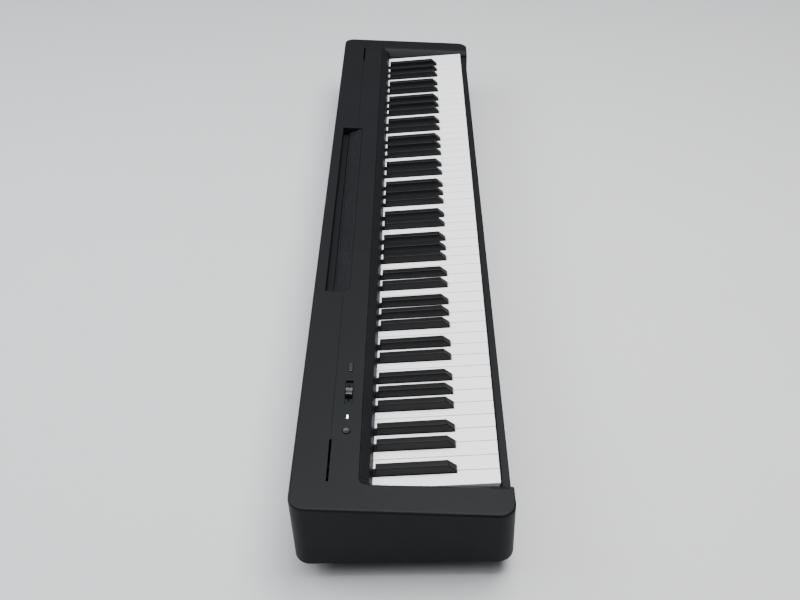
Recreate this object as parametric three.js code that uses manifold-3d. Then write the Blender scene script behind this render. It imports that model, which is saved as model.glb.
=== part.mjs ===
// Slim 88-key digital piano, as an assembly of separate pieces.
// Millimetres, +Z up. X runs along the keyboard with the bass end at -X, the player sits on the -Y
// side, and the origin is the centre of the footprint at the level of the feet.
import * as THREE from 'three';
import { ConvexGeometry } from 'three/addons/geometries/ConvexGeometry.js';
import { mergeVertices } from 'three/addons/utils/BufferGeometryUtils.js';
import Module from 'manifold-3d';

const wasm = await Module();
wasm.setup();

// ---------------------------------------------------------------- driving dimensions

const LENGTH = 1326;
const DEPTH = 268;
const HEIGHT = 129;
const WALL = 3;
const GAP = 0.3;            // clearance between pieces that rest on or fit into each other
const FAR = 400;            // reach of a cutting tool, well past the case

const FOOT_HEIGHT = 8;
const FEET = {
  front_left: [-570, -78],
  front_right: [570, -78],
  rear_left: [-570, 76],
  rear_right: [570, 76],
};
const CASE_EDGE_Z = 26;     // lower edge of the visible case side
const FRONT_TOP_Z = 110.5;  // top of the cheeks at the front
const CORNER_RADIUS = 20;   // rounded vertical corners of the case
const LIP_PROUD = 0.8;      // how far the lip above the sockets stands behind the rear wall
const HALF_LENGTH = LENGTH / 2;
const FRONT_Y = -DEPTH / 2;
const REAR_Y = DEPTH / 2 - LIP_PROUD;

// Keyboard
const WHITE_PITCH = 23.5;
const WHITE_KEYS = 52;
const WHITE_GAP = 1.0;
const OCTAVE = 7 * WHITE_PITCH;
const KEYS_START_X = -WHITE_KEYS * WHITE_PITCH / 2;
const KEY_FRONT_Y = -118.6;
const KEY_TOP_Z = 109.1;    // top of a white key at its front edge
const KEY_TOP_FALL = 0.0515; // at rest the keys lean back: fall of their tops per millimetre of Y
const KEY_UNDER_Z = 97;     // underside just behind the front lip
const KEY_UNDER_FALL = 0.035;
const KEY_LIP_Z = 89;       // lower edge of a white key's front face
const KEY_LIP_DEPTH = 6.6;
const SHARP_FRONT_Y = -66.4;
const SHARP_FRONT_RISE = 2; // upright part of a sharp's front, before its slope starts
const SHARP_CREST_Y = -56;
const SHARP_REAR_Y = 31.5;
const SHARP_CREST_Z = 118.2;
const SHARP_REAR_Z = 112.2;
const SHARP_BASE_WIDTH = 11.5;
const SHARP_TOP_WIDTH = 8.6;
const SHARP_BODY_WIDTH = 10.2;
const SHARP_CLEARANCE = 0.9;
const HINGE_Y = 70;         // the line that every key turns on
const HINGE_Z = 93;
const PLUNGER_Y = -58;      // where a key pushes its hammer
const PLUNGER_SIZE = 6;
const PLUNGER_END_Z = 71;

// Hammers
const SHAFT_Y = -20;
const SHAFT_Z = 62;
const SHAFT_RADIUS = 3;
const HAMMER = {
  width: 8,
  beforePlunger: 6,         // how far the short arm reaches past its plunger
  saddle: 3.5,              // half the width of the notch that sits on the shaft
  armDrop: 6,
  headStart: 56,
  headDrop: 18,
  naturalReach: 80,
  sharpReach: 76,
  tie: 5,                   // depth of the bar that ties a set of hammers together
};

// Keyboard opening in the case
const BAY_HALF = 612.5;     // inner face of a cheek at key level
const OPENING_HALF = 621.5; // the same face where it reaches the top
const PANEL_FRONT_Y = 51;
const STRIP_FOOT_Y = 36;
const STRIP_FOOT_Z = 102.8;
const OPENING_RADIUS = 10;
const CHEEK_SLOPE_Z = 104;  // where a cheek's inner face starts to lean outwards

// Top panel
const GRILLE_HALF = 252;
const GRILLE_FRONT_Y = 80;
const GRILLE_REAR_Y = 116;
const GRILLE_DROP = 12;     // how far the grille slopes down behind its front edge
const TRENCH_FRONT_Y = 106; // the deep slot between the grille's low edge and the recess's rear wall
const TRENCH_DEPTH = 16;
const REST_SLOT = { inner: 551, outer: 619, y: 88.7, width: 2.7 };
const CONTROLS_Y = 70;
const FUNCTION = { x: -418, length: 16, width: 5.4 };
const VOLUME = { x: -466.5, length: 45, width: 10, depth: 3.5, knob: 15.5, travel: 14 };
const LAMP = { x: -511, length: 6, width: 2 };
const POWER = { x: -536, radius: 4.6 };
const SPEAKER = { x: 150, y: 101, length: 120, width: 50, top: 106, depth: 42, magnet: 22 };

// Sockets in the rear wall: body width and length, sleeve radius, and the bore's size and depth
const SOCKET_Z = 72;
const SOCKET_HEIGHT = 14;
const SOCKET_HOLE_RADIUS = 7.4;
const SOCKETS = {
  usb_port: { x: -424, width: 12.4, length: 16, sleeve: 7, depth: 12, bore: [8.6, 7.9] },
  headphone_jack: { x: -450, width: 15, length: 20, sleeve: 6.6, depth: 20, bore: 3.4 },
  pedal_jack: { x: -480, width: 15, length: 20, sleeve: 6.6, depth: 20, bore: 3.4 },
  dc_jack: { x: -508, width: 12, length: 14, sleeve: 5.6, depth: 11, bore: 3.2 },
};
const LIP = { x: -465.5, length: 143, low: 113, high: 121.5 };
const SOCKET_RIB = { left: -442, right: -406, front: 82, rear: 85, low: 66 };

// ---------------------------------------------------------------- materials

function plastic(color, roughness) {
  return new THREE.MeshStandardMaterial({ color, roughness, metalness: 0 });
}

function metal(color, roughness) {
  return new THREE.MeshStandardMaterial({ color, roughness, metalness: 1 });
}

const caseBlack = plastic(0x1b1c1f, 0.62);
const underBlack = plastic(0x141416, 0.8);
const keyWhite = plastic(0xe9e9e6, 0.3);
const keyBlack = plastic(0x17171a, 0.5);
const knobBlack = plastic(0x101012, 0.45);
const lampWhite = plastic(0xf4f7ff, 0.2);
const chassisGrey = plastic(0x3a3c40, 0.7);
const feltRed = plastic(0x7a1f22, 0.95);
const boardGreen = plastic(0x1f4d33, 0.6);
const rubberBlack = plastic(0x0d0d0e, 0.9);
const grilleBlack = metal(0x1a1a1c, 0.5);
const steel = metal(0xa9acb0, 0.35);
const hammerSteel = metal(0x6f7276, 0.5);

// ---------------------------------------------------------------- solids

function toSolid(geometry) {
  const bare = new THREE.BufferGeometry();
  bare.setAttribute('position', geometry.getAttribute('position'));
  if (geometry.index) bare.setIndex(geometry.index);
  const merged = mergeVertices(bare, 1e-4);
  return new wasm.Manifold(new wasm.Mesh({
    numProp: 3,
    vertProperties: new Float32Array(merged.getAttribute('position').array),
    triVerts: new Uint32Array(merged.index.array),
  }));
}

function toGeometry(solid) {
  const mesh = solid.getMesh();
  const geometry = new THREE.BufferGeometry();
  geometry.setAttribute('position', new THREE.BufferAttribute(mesh.vertProperties, 3));
  geometry.setIndex(new THREE.BufferAttribute(mesh.triVerts, 1));
  geometry.computeVertexNormals();
  return geometry;
}

// A box between two corners.
function block(x0, x1, y0, y1, z0, z1) {
  const geometry = new THREE.BoxGeometry(x1 - x0, y1 - y0, z1 - z0);
  geometry.translate((x0 + x1) / 2, (y0 + y1) / 2, (z0 + z1) / 2);
  return toSolid(geometry);
}

// A [y, z] outline carried along X.
function alongX(outline, x0, x1) {
  const shape = new THREE.Shape(outline.map(([y, z]) => new THREE.Vector2(y, z)));
  const geometry = new THREE.ExtrudeGeometry(shape, { depth: x1 - x0, bevelEnabled: false });
  const axes = new THREE.Matrix4().makeBasis(
    new THREE.Vector3(0, 1, 0), new THREE.Vector3(0, 0, 1), new THREE.Vector3(1, 0, 0));
  geometry.applyMatrix4(axes);
  geometry.translate(x0, 0, 0);
  return toSolid(geometry);
}

// A plan shape carried up from z0 to z1.
function upwards(shape, z0, z1, curveSegments = 6) {
  const options = { depth: z1 - z0, bevelEnabled: false, curveSegments };
  const geometry = new THREE.ExtrudeGeometry(shape, options);
  geometry.translate(0, 0, z0);
  return toSolid(geometry);
}

function hull(points) {
  return toSolid(new ConvexGeometry(points.map(([x, y, z]) => new THREE.Vector3(x, y, z))));
}

// A round bar along X, Y or Z, centred on a point.
function bar(radius, length, axis, x, y, z, segments = 20) {
  const geometry = new THREE.CylinderGeometry(radius, radius, length, segments);
  if (axis === 'x') geometry.rotateZ(Math.PI / 2);
  if (axis === 'z') geometry.rotateX(Math.PI / 2);
  geometry.translate(x, y, z);
  return toSolid(geometry);
}

function join(solids) {
  return solids.reduce((sum, solid) => sum.add(solid));
}

function cutAll(solid, tools) {
  return tools.reduce((rest, tool) => rest.subtract(tool), solid);
}

function roundedRectangle(x0, x1, y0, y1, radius) {
  const shape = new THREE.Shape();
  shape.moveTo(x0 + radius, y0);
  shape.lineTo(x1 - radius, y0);
  shape.absarc(x1 - radius, y0 + radius, radius, -Math.PI / 2, 0, false);
  shape.lineTo(x1, y1 - radius);
  shape.absarc(x1 - radius, y1 - radius, radius, 0, Math.PI / 2, false);
  shape.lineTo(x0 + radius, y1);
  shape.absarc(x0 + radius, y1 - radius, radius, Math.PI / 2, Math.PI, false);
  shape.lineTo(x0, y0 + radius);
  shape.absarc(x0 + radius, y0 + radius, radius, Math.PI, 1.5 * Math.PI, false);
  return shape;
}

// The case's plan outline, moved inwards by inset.
function caseOutline(inset) {
  return roundedRectangle(-HALF_LENGTH + inset, HALF_LENGTH - inset,
    FRONT_Y + inset, REAR_Y - inset, Math.max(CORNER_RADIUS - inset, 4));
}

function outlinePoints(shape, z, segments) {
  return shape.getPoints(segments).map((point) => [point.x, point.y, z]);
}

// ---------------------------------------------------------------- the sloping top

const TOP_SLOPE = (HEIGHT - FRONT_TOP_Z) / (REAR_Y - FRONT_Y);
const TOP_ANGLE = Math.atan(TOP_SLOPE);

function topZ(y) {
  return HEIGHT - TOP_SLOPE * (REAR_Y - y);
}

// Everything that lies at least `under` below the top surface.
function belowTop(under) {
  const outline = [[-FAR, -FAR], [FAR, -FAR], [FAR, topZ(FAR) - under], [-FAR, topZ(-FAR) - under]];
  return alongX(outline, -2 * FAR, 2 * FAR);
}

// Places a tool that was drawn around the origin square to the top surface at (x, y).
function squareToTop(solid, x, y) {
  return solid.rotate([TOP_ANGLE * 180 / Math.PI, 0, 0]).translate([x, y, topZ(y)]);
}

// ---------------------------------------------------------------- case pieces

function keyboardOpening() {
  const bay = block(-BAY_HALF, BAY_HALF, -FAR, PANEL_FRONT_Y, CASE_EDGE_Z - 1, CHEEK_SLOPE_Z + 0.5);
  const overPanel = upwards(roundedRectangle(-OPENING_HALF, OPENING_HALF,
    -FAR, PANEL_FRONT_Y, OPENING_RADIUS), topZ(PANEL_FRONT_Y) - 2 * WALL, FAR);
  const backY = PANEL_FRONT_Y - OPENING_RADIUS;
  const corners = [];
  for (const side of [-1, 1]) {
    for (const y of [FRONT_Y - 1, backY]) {
      corners.push([side * BAY_HALF, y, CHEEK_SLOPE_Z]);
      corners.push([side * OPENING_HALF, y, topZ(y)]);
      corners.push([side * OPENING_HALF, y, HEIGHT + 1]);
    }
  }
  return join([bay, overPanel, hull(corners)]);
}

function grilleRecess(extra, z0, z1) {
  return block(-GRILLE_HALF - extra, GRILLE_HALF + extra,
    GRILLE_FRONT_Y - extra, GRILLE_REAR_Y + extra, z0, z1);
}

// The part of the recess that goes right through, under the grille, and the slot behind it.
function grilleOpening() {
  const through = block(-GRILLE_HALF, GRILLE_HALF, GRILLE_FRONT_Y, TRENCH_FRONT_Y, 60, FAR);
  return through.add(grilleRecess(0, topZ(GRILLE_REAR_Y) - TRENCH_DEPTH, FAR));
}

function volumePocket() {
  const pocket = block(-VOLUME.length / 2, VOLUME.length / 2,
    -VOLUME.width / 2, VOLUME.width / 2, -VOLUME.depth, 5);
  const slit = block(-VOLUME.travel - 3, VOLUME.travel + 3, -0.9, 0.9, -10, 0);
  return pocket.add(slit);
}

// A rib under the panel that stands between the key action and the sockets.
function socketRib() {
  const { left, right, front, rear, low } = SOCKET_RIB;
  return block(left, right, front, rear, low, FAR).intersect(belowTop(WALL - 1));
}

function upperCase() {
  const outside = upwards(caseOutline(0), CASE_EDGE_Z, HEIGHT + 5).intersect(belowTop(0));
  const lip = block(LIP.x - LIP.length / 2, LIP.x + LIP.length / 2,
    REAR_Y - 1, REAR_Y + LIP_PROUD, LIP.low, LIP.high);
  const cheekWalls = [-1, 1].map((side) => {
    const near = side * BAY_HALF;
    const far = side * (OPENING_HALF + WALL);
    return block(Math.min(near, far), Math.max(near, far),
      FRONT_Y, PANEL_FRONT_Y + WALL, CASE_EDGE_Z + WALL + GAP, FAR);
  });
  const recessRim = grilleRecess(WALL, topZ(GRILLE_REAR_Y) - TRENCH_DEPTH - WALL, FAR);
  const pocketRim = squareToTop(block(-VOLUME.length / 2 - 2, VOLUME.length / 2 + 2,
    -VOLUME.width / 2 - 2, VOLUME.width / 2 + 2, -VOLUME.depth - 2.5, 0), VOLUME.x, CONTROLS_Y);
  const inside = cutAll(
    upwards(caseOutline(WALL), CASE_EDGE_Z - 1, FAR).intersect(belowTop(WALL)),
    [...cheekWalls, recessRim, pocketRim]);
  const restSlots = [-1, 1].map((side) => {
    const ends = [side * REST_SLOT.inner, side * REST_SLOT.outer].sort((a, b) => a - b);
    return block(ends[0], ends[1], REST_SLOT.y - REST_SLOT.width / 2,
      REST_SLOT.y + REST_SLOT.width / 2, 90, FAR);
  });
  const controls = [
    squareToTop(volumePocket(), VOLUME.x, CONTROLS_Y),
    squareToTop(block(-FUNCTION.length / 2 - 0.4, FUNCTION.length / 2 + 0.4,
      -FUNCTION.width / 2 - 0.4, FUNCTION.width / 2 + 0.4, -8, 5), FUNCTION.x, CONTROLS_Y),
    squareToTop(block(-LAMP.length / 2 - GAP, LAMP.length / 2 + GAP,
      -LAMP.width / 2 - GAP, LAMP.width / 2 + GAP, -8, 5), LAMP.x, CONTROLS_Y),
    squareToTop(bar(POWER.radius + 0.5, 20, 'z', 0, 0, 0, 24), POWER.x, CONTROLS_Y),
  ];
  const socketHoles = Object.values(SOCKETS).map(({ x }) => (
    bar(SOCKET_HOLE_RADIUS, 4 * WALL, 'y', x, REAR_Y, SOCKET_Z, 16)));
  const shell = cutAll(outside.add(lip),
    [inside, keyboardOpening(), grilleOpening(), ...restSlots, ...controls, ...socketHoles]);
  return shell.add(socketRib());
}

function lowerCase() {
  const corner = 4;
  const rim = upwards(caseOutline(WALL + GAP), CASE_EDGE_Z, CASE_EDGE_Z + WALL, corner);
  const pan = (inset, z0, z1) => hull([
    ...outlinePoints(caseOutline(inset), z1, corner),
    ...outlinePoints(caseOutline(inset + 8), z0, corner)]);
  const outer = pan(22, FOOT_HEIGHT, CASE_EDGE_Z + 1);
  const inner = pan(22 + WALL, FOOT_HEIGHT + WALL, CASE_EDGE_Z + WALL + 1);
  return rim.add(outer).subtract(inner);
}

function keyslip() {
  const front = FRONT_Y + 3;
  const back = front + 10.5;
  const low = CASE_EDGE_Z + WALL + GAP;
  const high = 101;
  const skin = 2.5;
  const outline = [
    [front, low], [back, low], [back, low + skin], [front + skin, low + skin],
    [front + skin, high - skin], [back - skin, high - skin], [back - skin, high - 14],
    [back, high - 14], [back, high - 1], [back - 1, high], [front + 2, high], [front, high - 2],
  ];
  return alongX(outline, -BAY_HALF + GAP, BAY_HALF - GAP);
}

function fallboardStrip() {
  const top = topZ(PANEL_FRONT_Y);
  const bendY = STRIP_FOOT_Y + 3.5;
  const bendZ = STRIP_FOOT_Z + 12;
  const outline = [
    [STRIP_FOOT_Y, STRIP_FOOT_Z], [STRIP_FOOT_Y + 2.2, STRIP_FOOT_Z],
    [bendY + 2.2, bendZ - 1.4], [PANEL_FRONT_Y - GAP, top - 3.8], [PANEL_FRONT_Y - GAP, top - 0.6],
    [bendY, bendZ], [STRIP_FOOT_Y, STRIP_FOOT_Z + 1.5],
  ];
  return alongX(outline, -BAY_HALF + GAP, BAY_HALF - GAP);
}

// A sheet that slopes down from the panel and turns down into the slot behind it.
function speakerGrille() {
  const sheet = 1.2;
  const front = GRILLE_FRONT_Y + GAP;
  const rear = TRENCH_FRONT_Y - GAP;
  const low = topZ(rear) - GRILLE_DROP;
  const outline = [
    [front, topZ(front) - 1.8], [rear - sheet, low - sheet], [rear - sheet, low - 4], [rear, low - 4],
    [rear, low], [front, topZ(front) - 0.4],
  ];
  return alongX(outline, -GRILLE_HALF + GAP, GRILLE_HALF - GAP);
}

function foot() {
  const profile = [[0, 0], [10, 0], [12, 2], [12, FOOT_HEIGHT - GAP], [0, FOOT_HEIGHT - GAP]];
  const lathe = new THREE.LatheGeometry(profile.map(([r, z]) => new THREE.Vector2(r, z)), 20);
  return toSolid(lathe.rotateX(Math.PI / 2));
}

// ---------------------------------------------------------------- controls, drawn square to the top

function powerButton() {
  const cap = bar(POWER.radius, 4.5, 'z', 0, 0, -1.25, 24);
  const collar = bar(POWER.radius + 1.8, 2, 'z', 0, 0, -WALL - GAP - 1, 24);
  return cap.add(collar);
}

function functionButton() {
  const { length, width } = FUNCTION;
  const cap = block(-length / 2, length / 2, -width / 2, width / 2, -4, 0.9);
  const collar = block(-length / 2 - 1.5, length / 2 + 1.5, -width / 2 - 1.2, width / 2 + 1.2,
    -WALL - GAP - 2, -WALL - GAP);
  return cap.add(collar);
}

function powerLamp() {
  return block(-LAMP.length / 2, LAMP.length / 2, -LAMP.width / 2, LAMP.width / 2, -5, 0.1);
}

function volumeKnob() {
  const half = VOLUME.knob / 2;
  const side = VOLUME.width / 2 - 0.4;
  const floor = -VOLUME.depth + GAP;
  const cap = hull([-1, 1].flatMap((sx) => [-1, 1].flatMap((sy) => [
    [sx * half, sy * side, floor], [sx * half, sy * side, 0], [sx * (half - 3), sy * (side - 0.8), 3.6],
  ])));
  const stem = block(-2, 2, -0.5, 0.5, -VOLUME.depth - 4, floor + 1);
  const carriage = block(-5, 5, -3, 3, -VOLUME.depth - 4.6, -VOLUME.depth - 2.8);
  return join([cap, stem, carriage]);
}

// ---------------------------------------------------------------- keys

// Centres of an octave's sharps from the left edge of its C, and the sharps on each side of a natural.
const SHARP_CENTRES = [20, 48, 89.5, 116.3, 143.3];
const SHARPS_BESIDE = [[null, 0], [0, 1], [1, null], [null, 2], [2, 3], [3, 4], [4, null]];

// The span of a natural's tail between the sharps of its own group.
function tailSpan(natural, sharps) {
  const half = SHARP_BASE_WIDTH / 2 + SHARP_CLEARANCE;
  const [before, after] = SHARPS_BESIDE[natural];
  const hasBefore = before !== null && sharps.includes(before);
  const hasAfter = after !== null && sharps.includes(after);
  return [
    hasBefore ? SHARP_CENTRES[before] + half : natural * WHITE_PITCH + WHITE_GAP / 2,
    hasAfter ? SHARP_CENTRES[after] - half : (natural + 1) * WHITE_PITCH - WHITE_GAP / 2,
  ];
}

function middle([low, high]) {
  return (low + high) / 2;
}

function keyTopZ(y) {
  return KEY_TOP_Z - KEY_TOP_FALL * (y - KEY_FRONT_Y);
}

function keyUnderZ(y) {
  return KEY_UNDER_Z - KEY_UNDER_FALL * (y - KEY_FRONT_Y - KEY_LIP_DEPTH);
}

// A column under a key that pushes its hammer.
function plunger(centre) {
  const half = PLUNGER_SIZE / 2;
  return block(centre - half, centre + half, PLUNGER_Y - half, PLUNGER_Y + half,
    PLUNGER_END_Z, keyUnderZ(PLUNGER_Y) + 1);
}

// Side view of a natural: front lip, underside and the thinner end over the hinge line.
const THIN_END_Y = HINGE_Y - 10.5;
const KEY_REAR_Y = HINGE_Y + 3;
const NATURAL_SIDE = [
  [KEY_FRONT_Y, KEY_LIP_Z], [KEY_FRONT_Y + KEY_LIP_DEPTH, KEY_LIP_Z],
  [KEY_FRONT_Y + KEY_LIP_DEPTH, KEY_UNDER_Z], [THIN_END_Y, keyUnderZ(THIN_END_Y)],
  [THIN_END_Y, HINGE_Z], [KEY_REAR_Y, HINGE_Z], [KEY_REAR_Y, keyTopZ(KEY_REAR_Y)],
  [KEY_FRONT_Y, KEY_TOP_Z],
];

function naturalKey(natural, sharps) {
  const left = natural * WHITE_PITCH + WHITE_GAP / 2;
  const right = (natural + 1) * WHITE_PITCH - WHITE_GAP / 2;
  const [tailLeft, tailRight] = tailSpan(natural, sharps);
  const notchY = SHARP_FRONT_Y - SHARP_CLEARANCE;
  const notches = [];
  if (tailLeft > left) notches.push(block(left - 1, tailLeft, notchY, FAR, 0, FAR));
  if (tailRight < right) notches.push(block(tailRight, right + 1, notchY, FAR, 0, FAR));
  const key = cutAll(alongX(NATURAL_SIDE, left, right), notches);
  return key.add(plunger(middle([tailLeft, tailRight])));
}

// Naturals moulded together on one rail just behind the hinge line.
function naturalSet(naturals, sharps) {
  const keys = naturals.map((natural) => naturalKey(natural, sharps));
  if (naturals.length === 1) return keys[0];
  const first = tailSpan(naturals[0], sharps)[0];
  const last = tailSpan(naturals[naturals.length - 1], sharps)[1];
  return join([...keys, block(first, last, HINGE_Y - 1, KEY_REAR_Y, HINGE_Z, keyTopZ(KEY_REAR_Y) - 0.2)]);
}

// Side view of a sharp's body, under its cap, with the lug that reaches down to the rail.
const SHARP_RAIL = { front: HINGE_Y - 8, rear: HINGE_Y - 2, low: HINGE_Z - 8, high: HINGE_Z - 2 };
const SHARP_BODY_FRONT_Y = SHARP_FRONT_Y + 0.4;
const SHARP_SIDE = [
  [SHARP_BODY_FRONT_Y, keyUnderZ(SHARP_BODY_FRONT_Y)], [SHARP_RAIL.front, keyUnderZ(SHARP_RAIL.front)],
  [SHARP_RAIL.front, SHARP_RAIL.low], [SHARP_RAIL.rear, SHARP_RAIL.low],
  [SHARP_RAIL.rear, keyTopZ(SHARP_RAIL.rear) + 0.5], [SHARP_BODY_FRONT_Y, keyTopZ(SHARP_BODY_FRONT_Y) + 0.5],
];

function sharpKey(sharp) {
  const centre = SHARP_CENTRES[sharp];
  const base = SHARP_BASE_WIDTH / 2;
  const crest = SHARP_TOP_WIDTH / 2;
  const cap = hull([-1, 1].flatMap((side) => [
    [centre + side * base, SHARP_FRONT_Y, keyTopZ(SHARP_FRONT_Y)],
    [centre + side * (base - 0.3), SHARP_FRONT_Y, keyTopZ(SHARP_FRONT_Y) + SHARP_FRONT_RISE],
    [centre + side * base, SHARP_REAR_Y, keyTopZ(SHARP_REAR_Y)],
    [centre + side * crest, SHARP_CREST_Y, SHARP_CREST_Z],
    [centre + side * crest, SHARP_REAR_Y, SHARP_REAR_Z],
  ]));
  const body = alongX(SHARP_SIDE, centre - SHARP_BODY_WIDTH / 2, centre + SHARP_BODY_WIDTH / 2);
  return join([cap, body, plunger(centre)]);
}

// Sharps moulded together on one rail that passes under the tails of the naturals.
function sharpSet(sharps) {
  const keys = sharps.map(sharpKey);
  if (sharps.length === 1) return keys[0];
  const first = SHARP_CENTRES[sharps[0]];
  const last = SHARP_CENTRES[sharps[sharps.length - 1]];
  const { front, rear, low, high } = SHARP_RAIL;
  return join([...keys, block(first, last, front, rear, low, high)]);
}

// ---------------------------------------------------------------- hammers

// Side view of a hammer: the short arm under the key, the saddle over the shaft, the long arm and head.
function hammerOutline(tipY, endY) {
  const { saddle, armDrop, headStart, headDrop } = HAMMER;
  const armLow = SHAFT_Z - armDrop;
  const headLow = SHAFT_Z - headDrop;
  const headHigh = SHAFT_Z - 2;
  return [
    [tipY, headHigh], [tipY + 30, armLow], [SHAFT_Y - saddle - 0.5, armLow],
    [SHAFT_Y - saddle, SHAFT_Z + saddle], [SHAFT_Y + saddle, SHAFT_Z + saddle],
    [SHAFT_Y + saddle + 0.5, armLow], [SHAFT_Y + headStart - 6, armLow - 6],
    [SHAFT_Y + headStart, headLow], [endY, headLow], [endY, headHigh],
    [SHAFT_Y + headStart + 4, headHigh], [SHAFT_Y + 6, SHAFT_Z + 8.5], [tipY, SHAFT_Z + 7.5],
  ];
}

function hammer(centre, tipY, endY) {
  return alongX(hammerOutline(tipY, endY), centre - HAMMER.width / 2, centre + HAMMER.width / 2);
}

// A bar across a set of hammers, from the first to the last.
function hammerTie(centres, y0, y1, z0, z1) {
  const half = HAMMER.width / 2;
  return block(centres[0] - half, centres[centres.length - 1] + half, y0, y1, z0, z1);
}

// Hammers of the naturals, tied together behind their heads.
function naturalHammers(naturals, sharps) {
  const centres = naturals.map((natural) => middle(tailSpan(natural, sharps)));
  const tipY = PLUNGER_Y - HAMMER.beforePlunger;
  const endY = SHAFT_Y + HAMMER.naturalReach;
  const arms = centres.map((centre) => hammer(centre, tipY, endY));
  if (arms.length === 1) return arms[0];
  const tie = hammerTie(centres, endY - 1, endY - 1 + HAMMER.tie, SHAFT_Z - HAMMER.headDrop, SHAFT_Z - 2);
  return join([...arms, tie]);
}

// Hammers of the sharps, tied together in front of the short arms.
function sharpHammers(sharps) {
  const centres = sharps.map((sharp) => SHARP_CENTRES[sharp]);
  const tipY = PLUNGER_Y - HAMMER.beforePlunger - 4;
  const arms = centres.map((centre) => hammer(centre, tipY, SHAFT_Y + HAMMER.sharpReach));
  if (arms.length === 1) return arms[0];
  const tie = hammerTie(centres, tipY + 0.5 - HAMMER.tie, tipY + 0.5, SHAFT_Z - 2, SHAFT_Z + 6);
  return join([...arms, tie]);
}

// ---------------------------------------------------------------- inside pieces

const ACTION_HALF = -KEYS_START_X;
const INNER_FLOOR = CASE_EDGE_Z + WALL + GAP;   // where the frame stands on the lower case's rim
const PAN_FLOOR = FOOT_HEIGHT + WALL + GAP;     // where its legs stand in the lower case's pan
const FRAME = {
  front: -116, rear: 74, sheet: 3, legY: -98, feltShelf: 75.4, feltShelfDepth: 10,
  shelfFront: -50, shelfTop: 82.6, shelfSheet: 2.8, stopRibY: 44, stopRib: 6, shaftRib: 3,
};
const BED_FELT = { front: -115.5, rear: -106.5, thick: 3 };
const STOP_FELT = { front: 40, rear: 58, thick: 3 };
const CONTACT_BOARD = {
  front: -48, rear: -6, thick: 1.6, rubberFront: -42, rubberRear: -30, rubberHigh: 4.2,
};
const MAIN_BOARD = { left: -560, right: -380, front: 84, rear: 127, top: SOCKET_Z - 8, thick: 1.6 };
const PANEL_BOARD = { left: -548, right: -398, front: 58, rear: 81, low: 113.2, thick: 1.6 };
const COOLER = { left: -556, right: -530, front: 90, rear: 108, height: 16 };

// One bent sheet: front shelf for the felt, ribs for the shaft and the hammer heads, shelf and rear wall.
function keyFrame() {
  const { front, rear, sheet, legY, feltShelf, shelfFront, shelfTop, stopRibY } = FRAME;
  const floor = INNER_FLOOR + sheet;
  const wall = rear - sheet;
  const shelfLow = shelfTop - FRAME.shelfSheet;
  const feltRear = front + FRAME.feltShelfDepth;
  const hingeSeat = HINGE_Z - 2 * GAP;
  const ribTop = SHAFT_Z - HAMMER.headDrop - 0.4;
  const ribRear = stopRibY + FRAME.stopRib;
  const seat = SHAFT_Z - SHAFT_RADIUS - 0.4;
  const seatHalf = FRAME.shaftRib / 2;
  const outline = [
    [front, INNER_FLOOR], [legY, INNER_FLOOR], [legY, PAN_FLOOR], [legY + sheet, PAN_FLOOR],
    [legY + sheet, INNER_FLOOR], [wall, INNER_FLOOR], [wall, PAN_FLOOR], [rear, PAN_FLOOR],
    [rear, hingeSeat], [wall, hingeSeat],
    [wall, shelfTop], [shelfFront, shelfTop], [shelfFront, shelfLow], [wall, shelfLow],
    [wall, floor], [ribRear, floor], [ribRear, ribTop], [stopRibY, ribTop], [stopRibY, floor],
    [SHAFT_Y + seatHalf, floor], [SHAFT_Y + seatHalf, seat],
    [SHAFT_Y - seatHalf, seat], [SHAFT_Y - seatHalf, floor],
    [front + sheet, floor], [front + sheet, feltShelf - sheet], [feltRear, feltShelf - sheet],
    [feltRear, feltShelf], [front, feltShelf],
  ];
  return alongX(outline, -ACTION_HALF, ACTION_HALF);
}

function hammerShaft() {
  return bar(SHAFT_RADIUS, 2 * ACTION_HALF, 'x', 0, SHAFT_Y, SHAFT_Z, 16);
}

function keyBedFelt() {
  const low = FRAME.feltShelf + GAP;
  return block(-ACTION_HALF, ACTION_HALF, BED_FELT.front, BED_FELT.rear, low, low + BED_FELT.thick);
}

function hammerStopFelt() {
  const high = FRAME.shelfTop - FRAME.shelfSheet - GAP;
  return block(-ACTION_HALF, ACTION_HALF, STOP_FELT.front, STOP_FELT.rear, high - STOP_FELT.thick, high);
}

function contactBoard() {
  const low = FRAME.shelfTop + GAP;
  const { front, rear, thick, rubberFront, rubberRear, rubberHigh } = CONTACT_BOARD;
  const board = block(-ACTION_HALF, ACTION_HALF, front, rear, low, low + thick);
  const rubber = block(-ACTION_HALF + 4, ACTION_HALF - 4, rubberFront, rubberRear,
    low + thick / 2, low + rubberHigh);
  return board.add(rubber);
}

// The main board on its four posts, with a cooling block for the amplifier.
function mainBoard() {
  const { left, right, front, rear, top, thick } = MAIN_BOARD;
  const post = { radius: 3, inset: 8, low: INNER_FLOOR, high: top - 1 };
  const board = block(left, right, front, rear, top - thick, top);
  const posts = [left + post.inset, right - post.inset].flatMap((x) => [112, 122].map((y) => (
    bar(post.radius, post.high - post.low, 'z', x, y, (post.low + post.high) / 2, 10))));
  const cooler = block(COOLER.left, COOLER.right, COOLER.front, COOLER.rear,
    top - thick / 2, top + COOLER.height);
  return join([board, cooler, ...posts]);
}

function panelBoard() {
  const { left, right, front, rear, low, thick } = PANEL_BOARD;
  return block(left, right, front, rear, low, low + thick);
}

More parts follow.
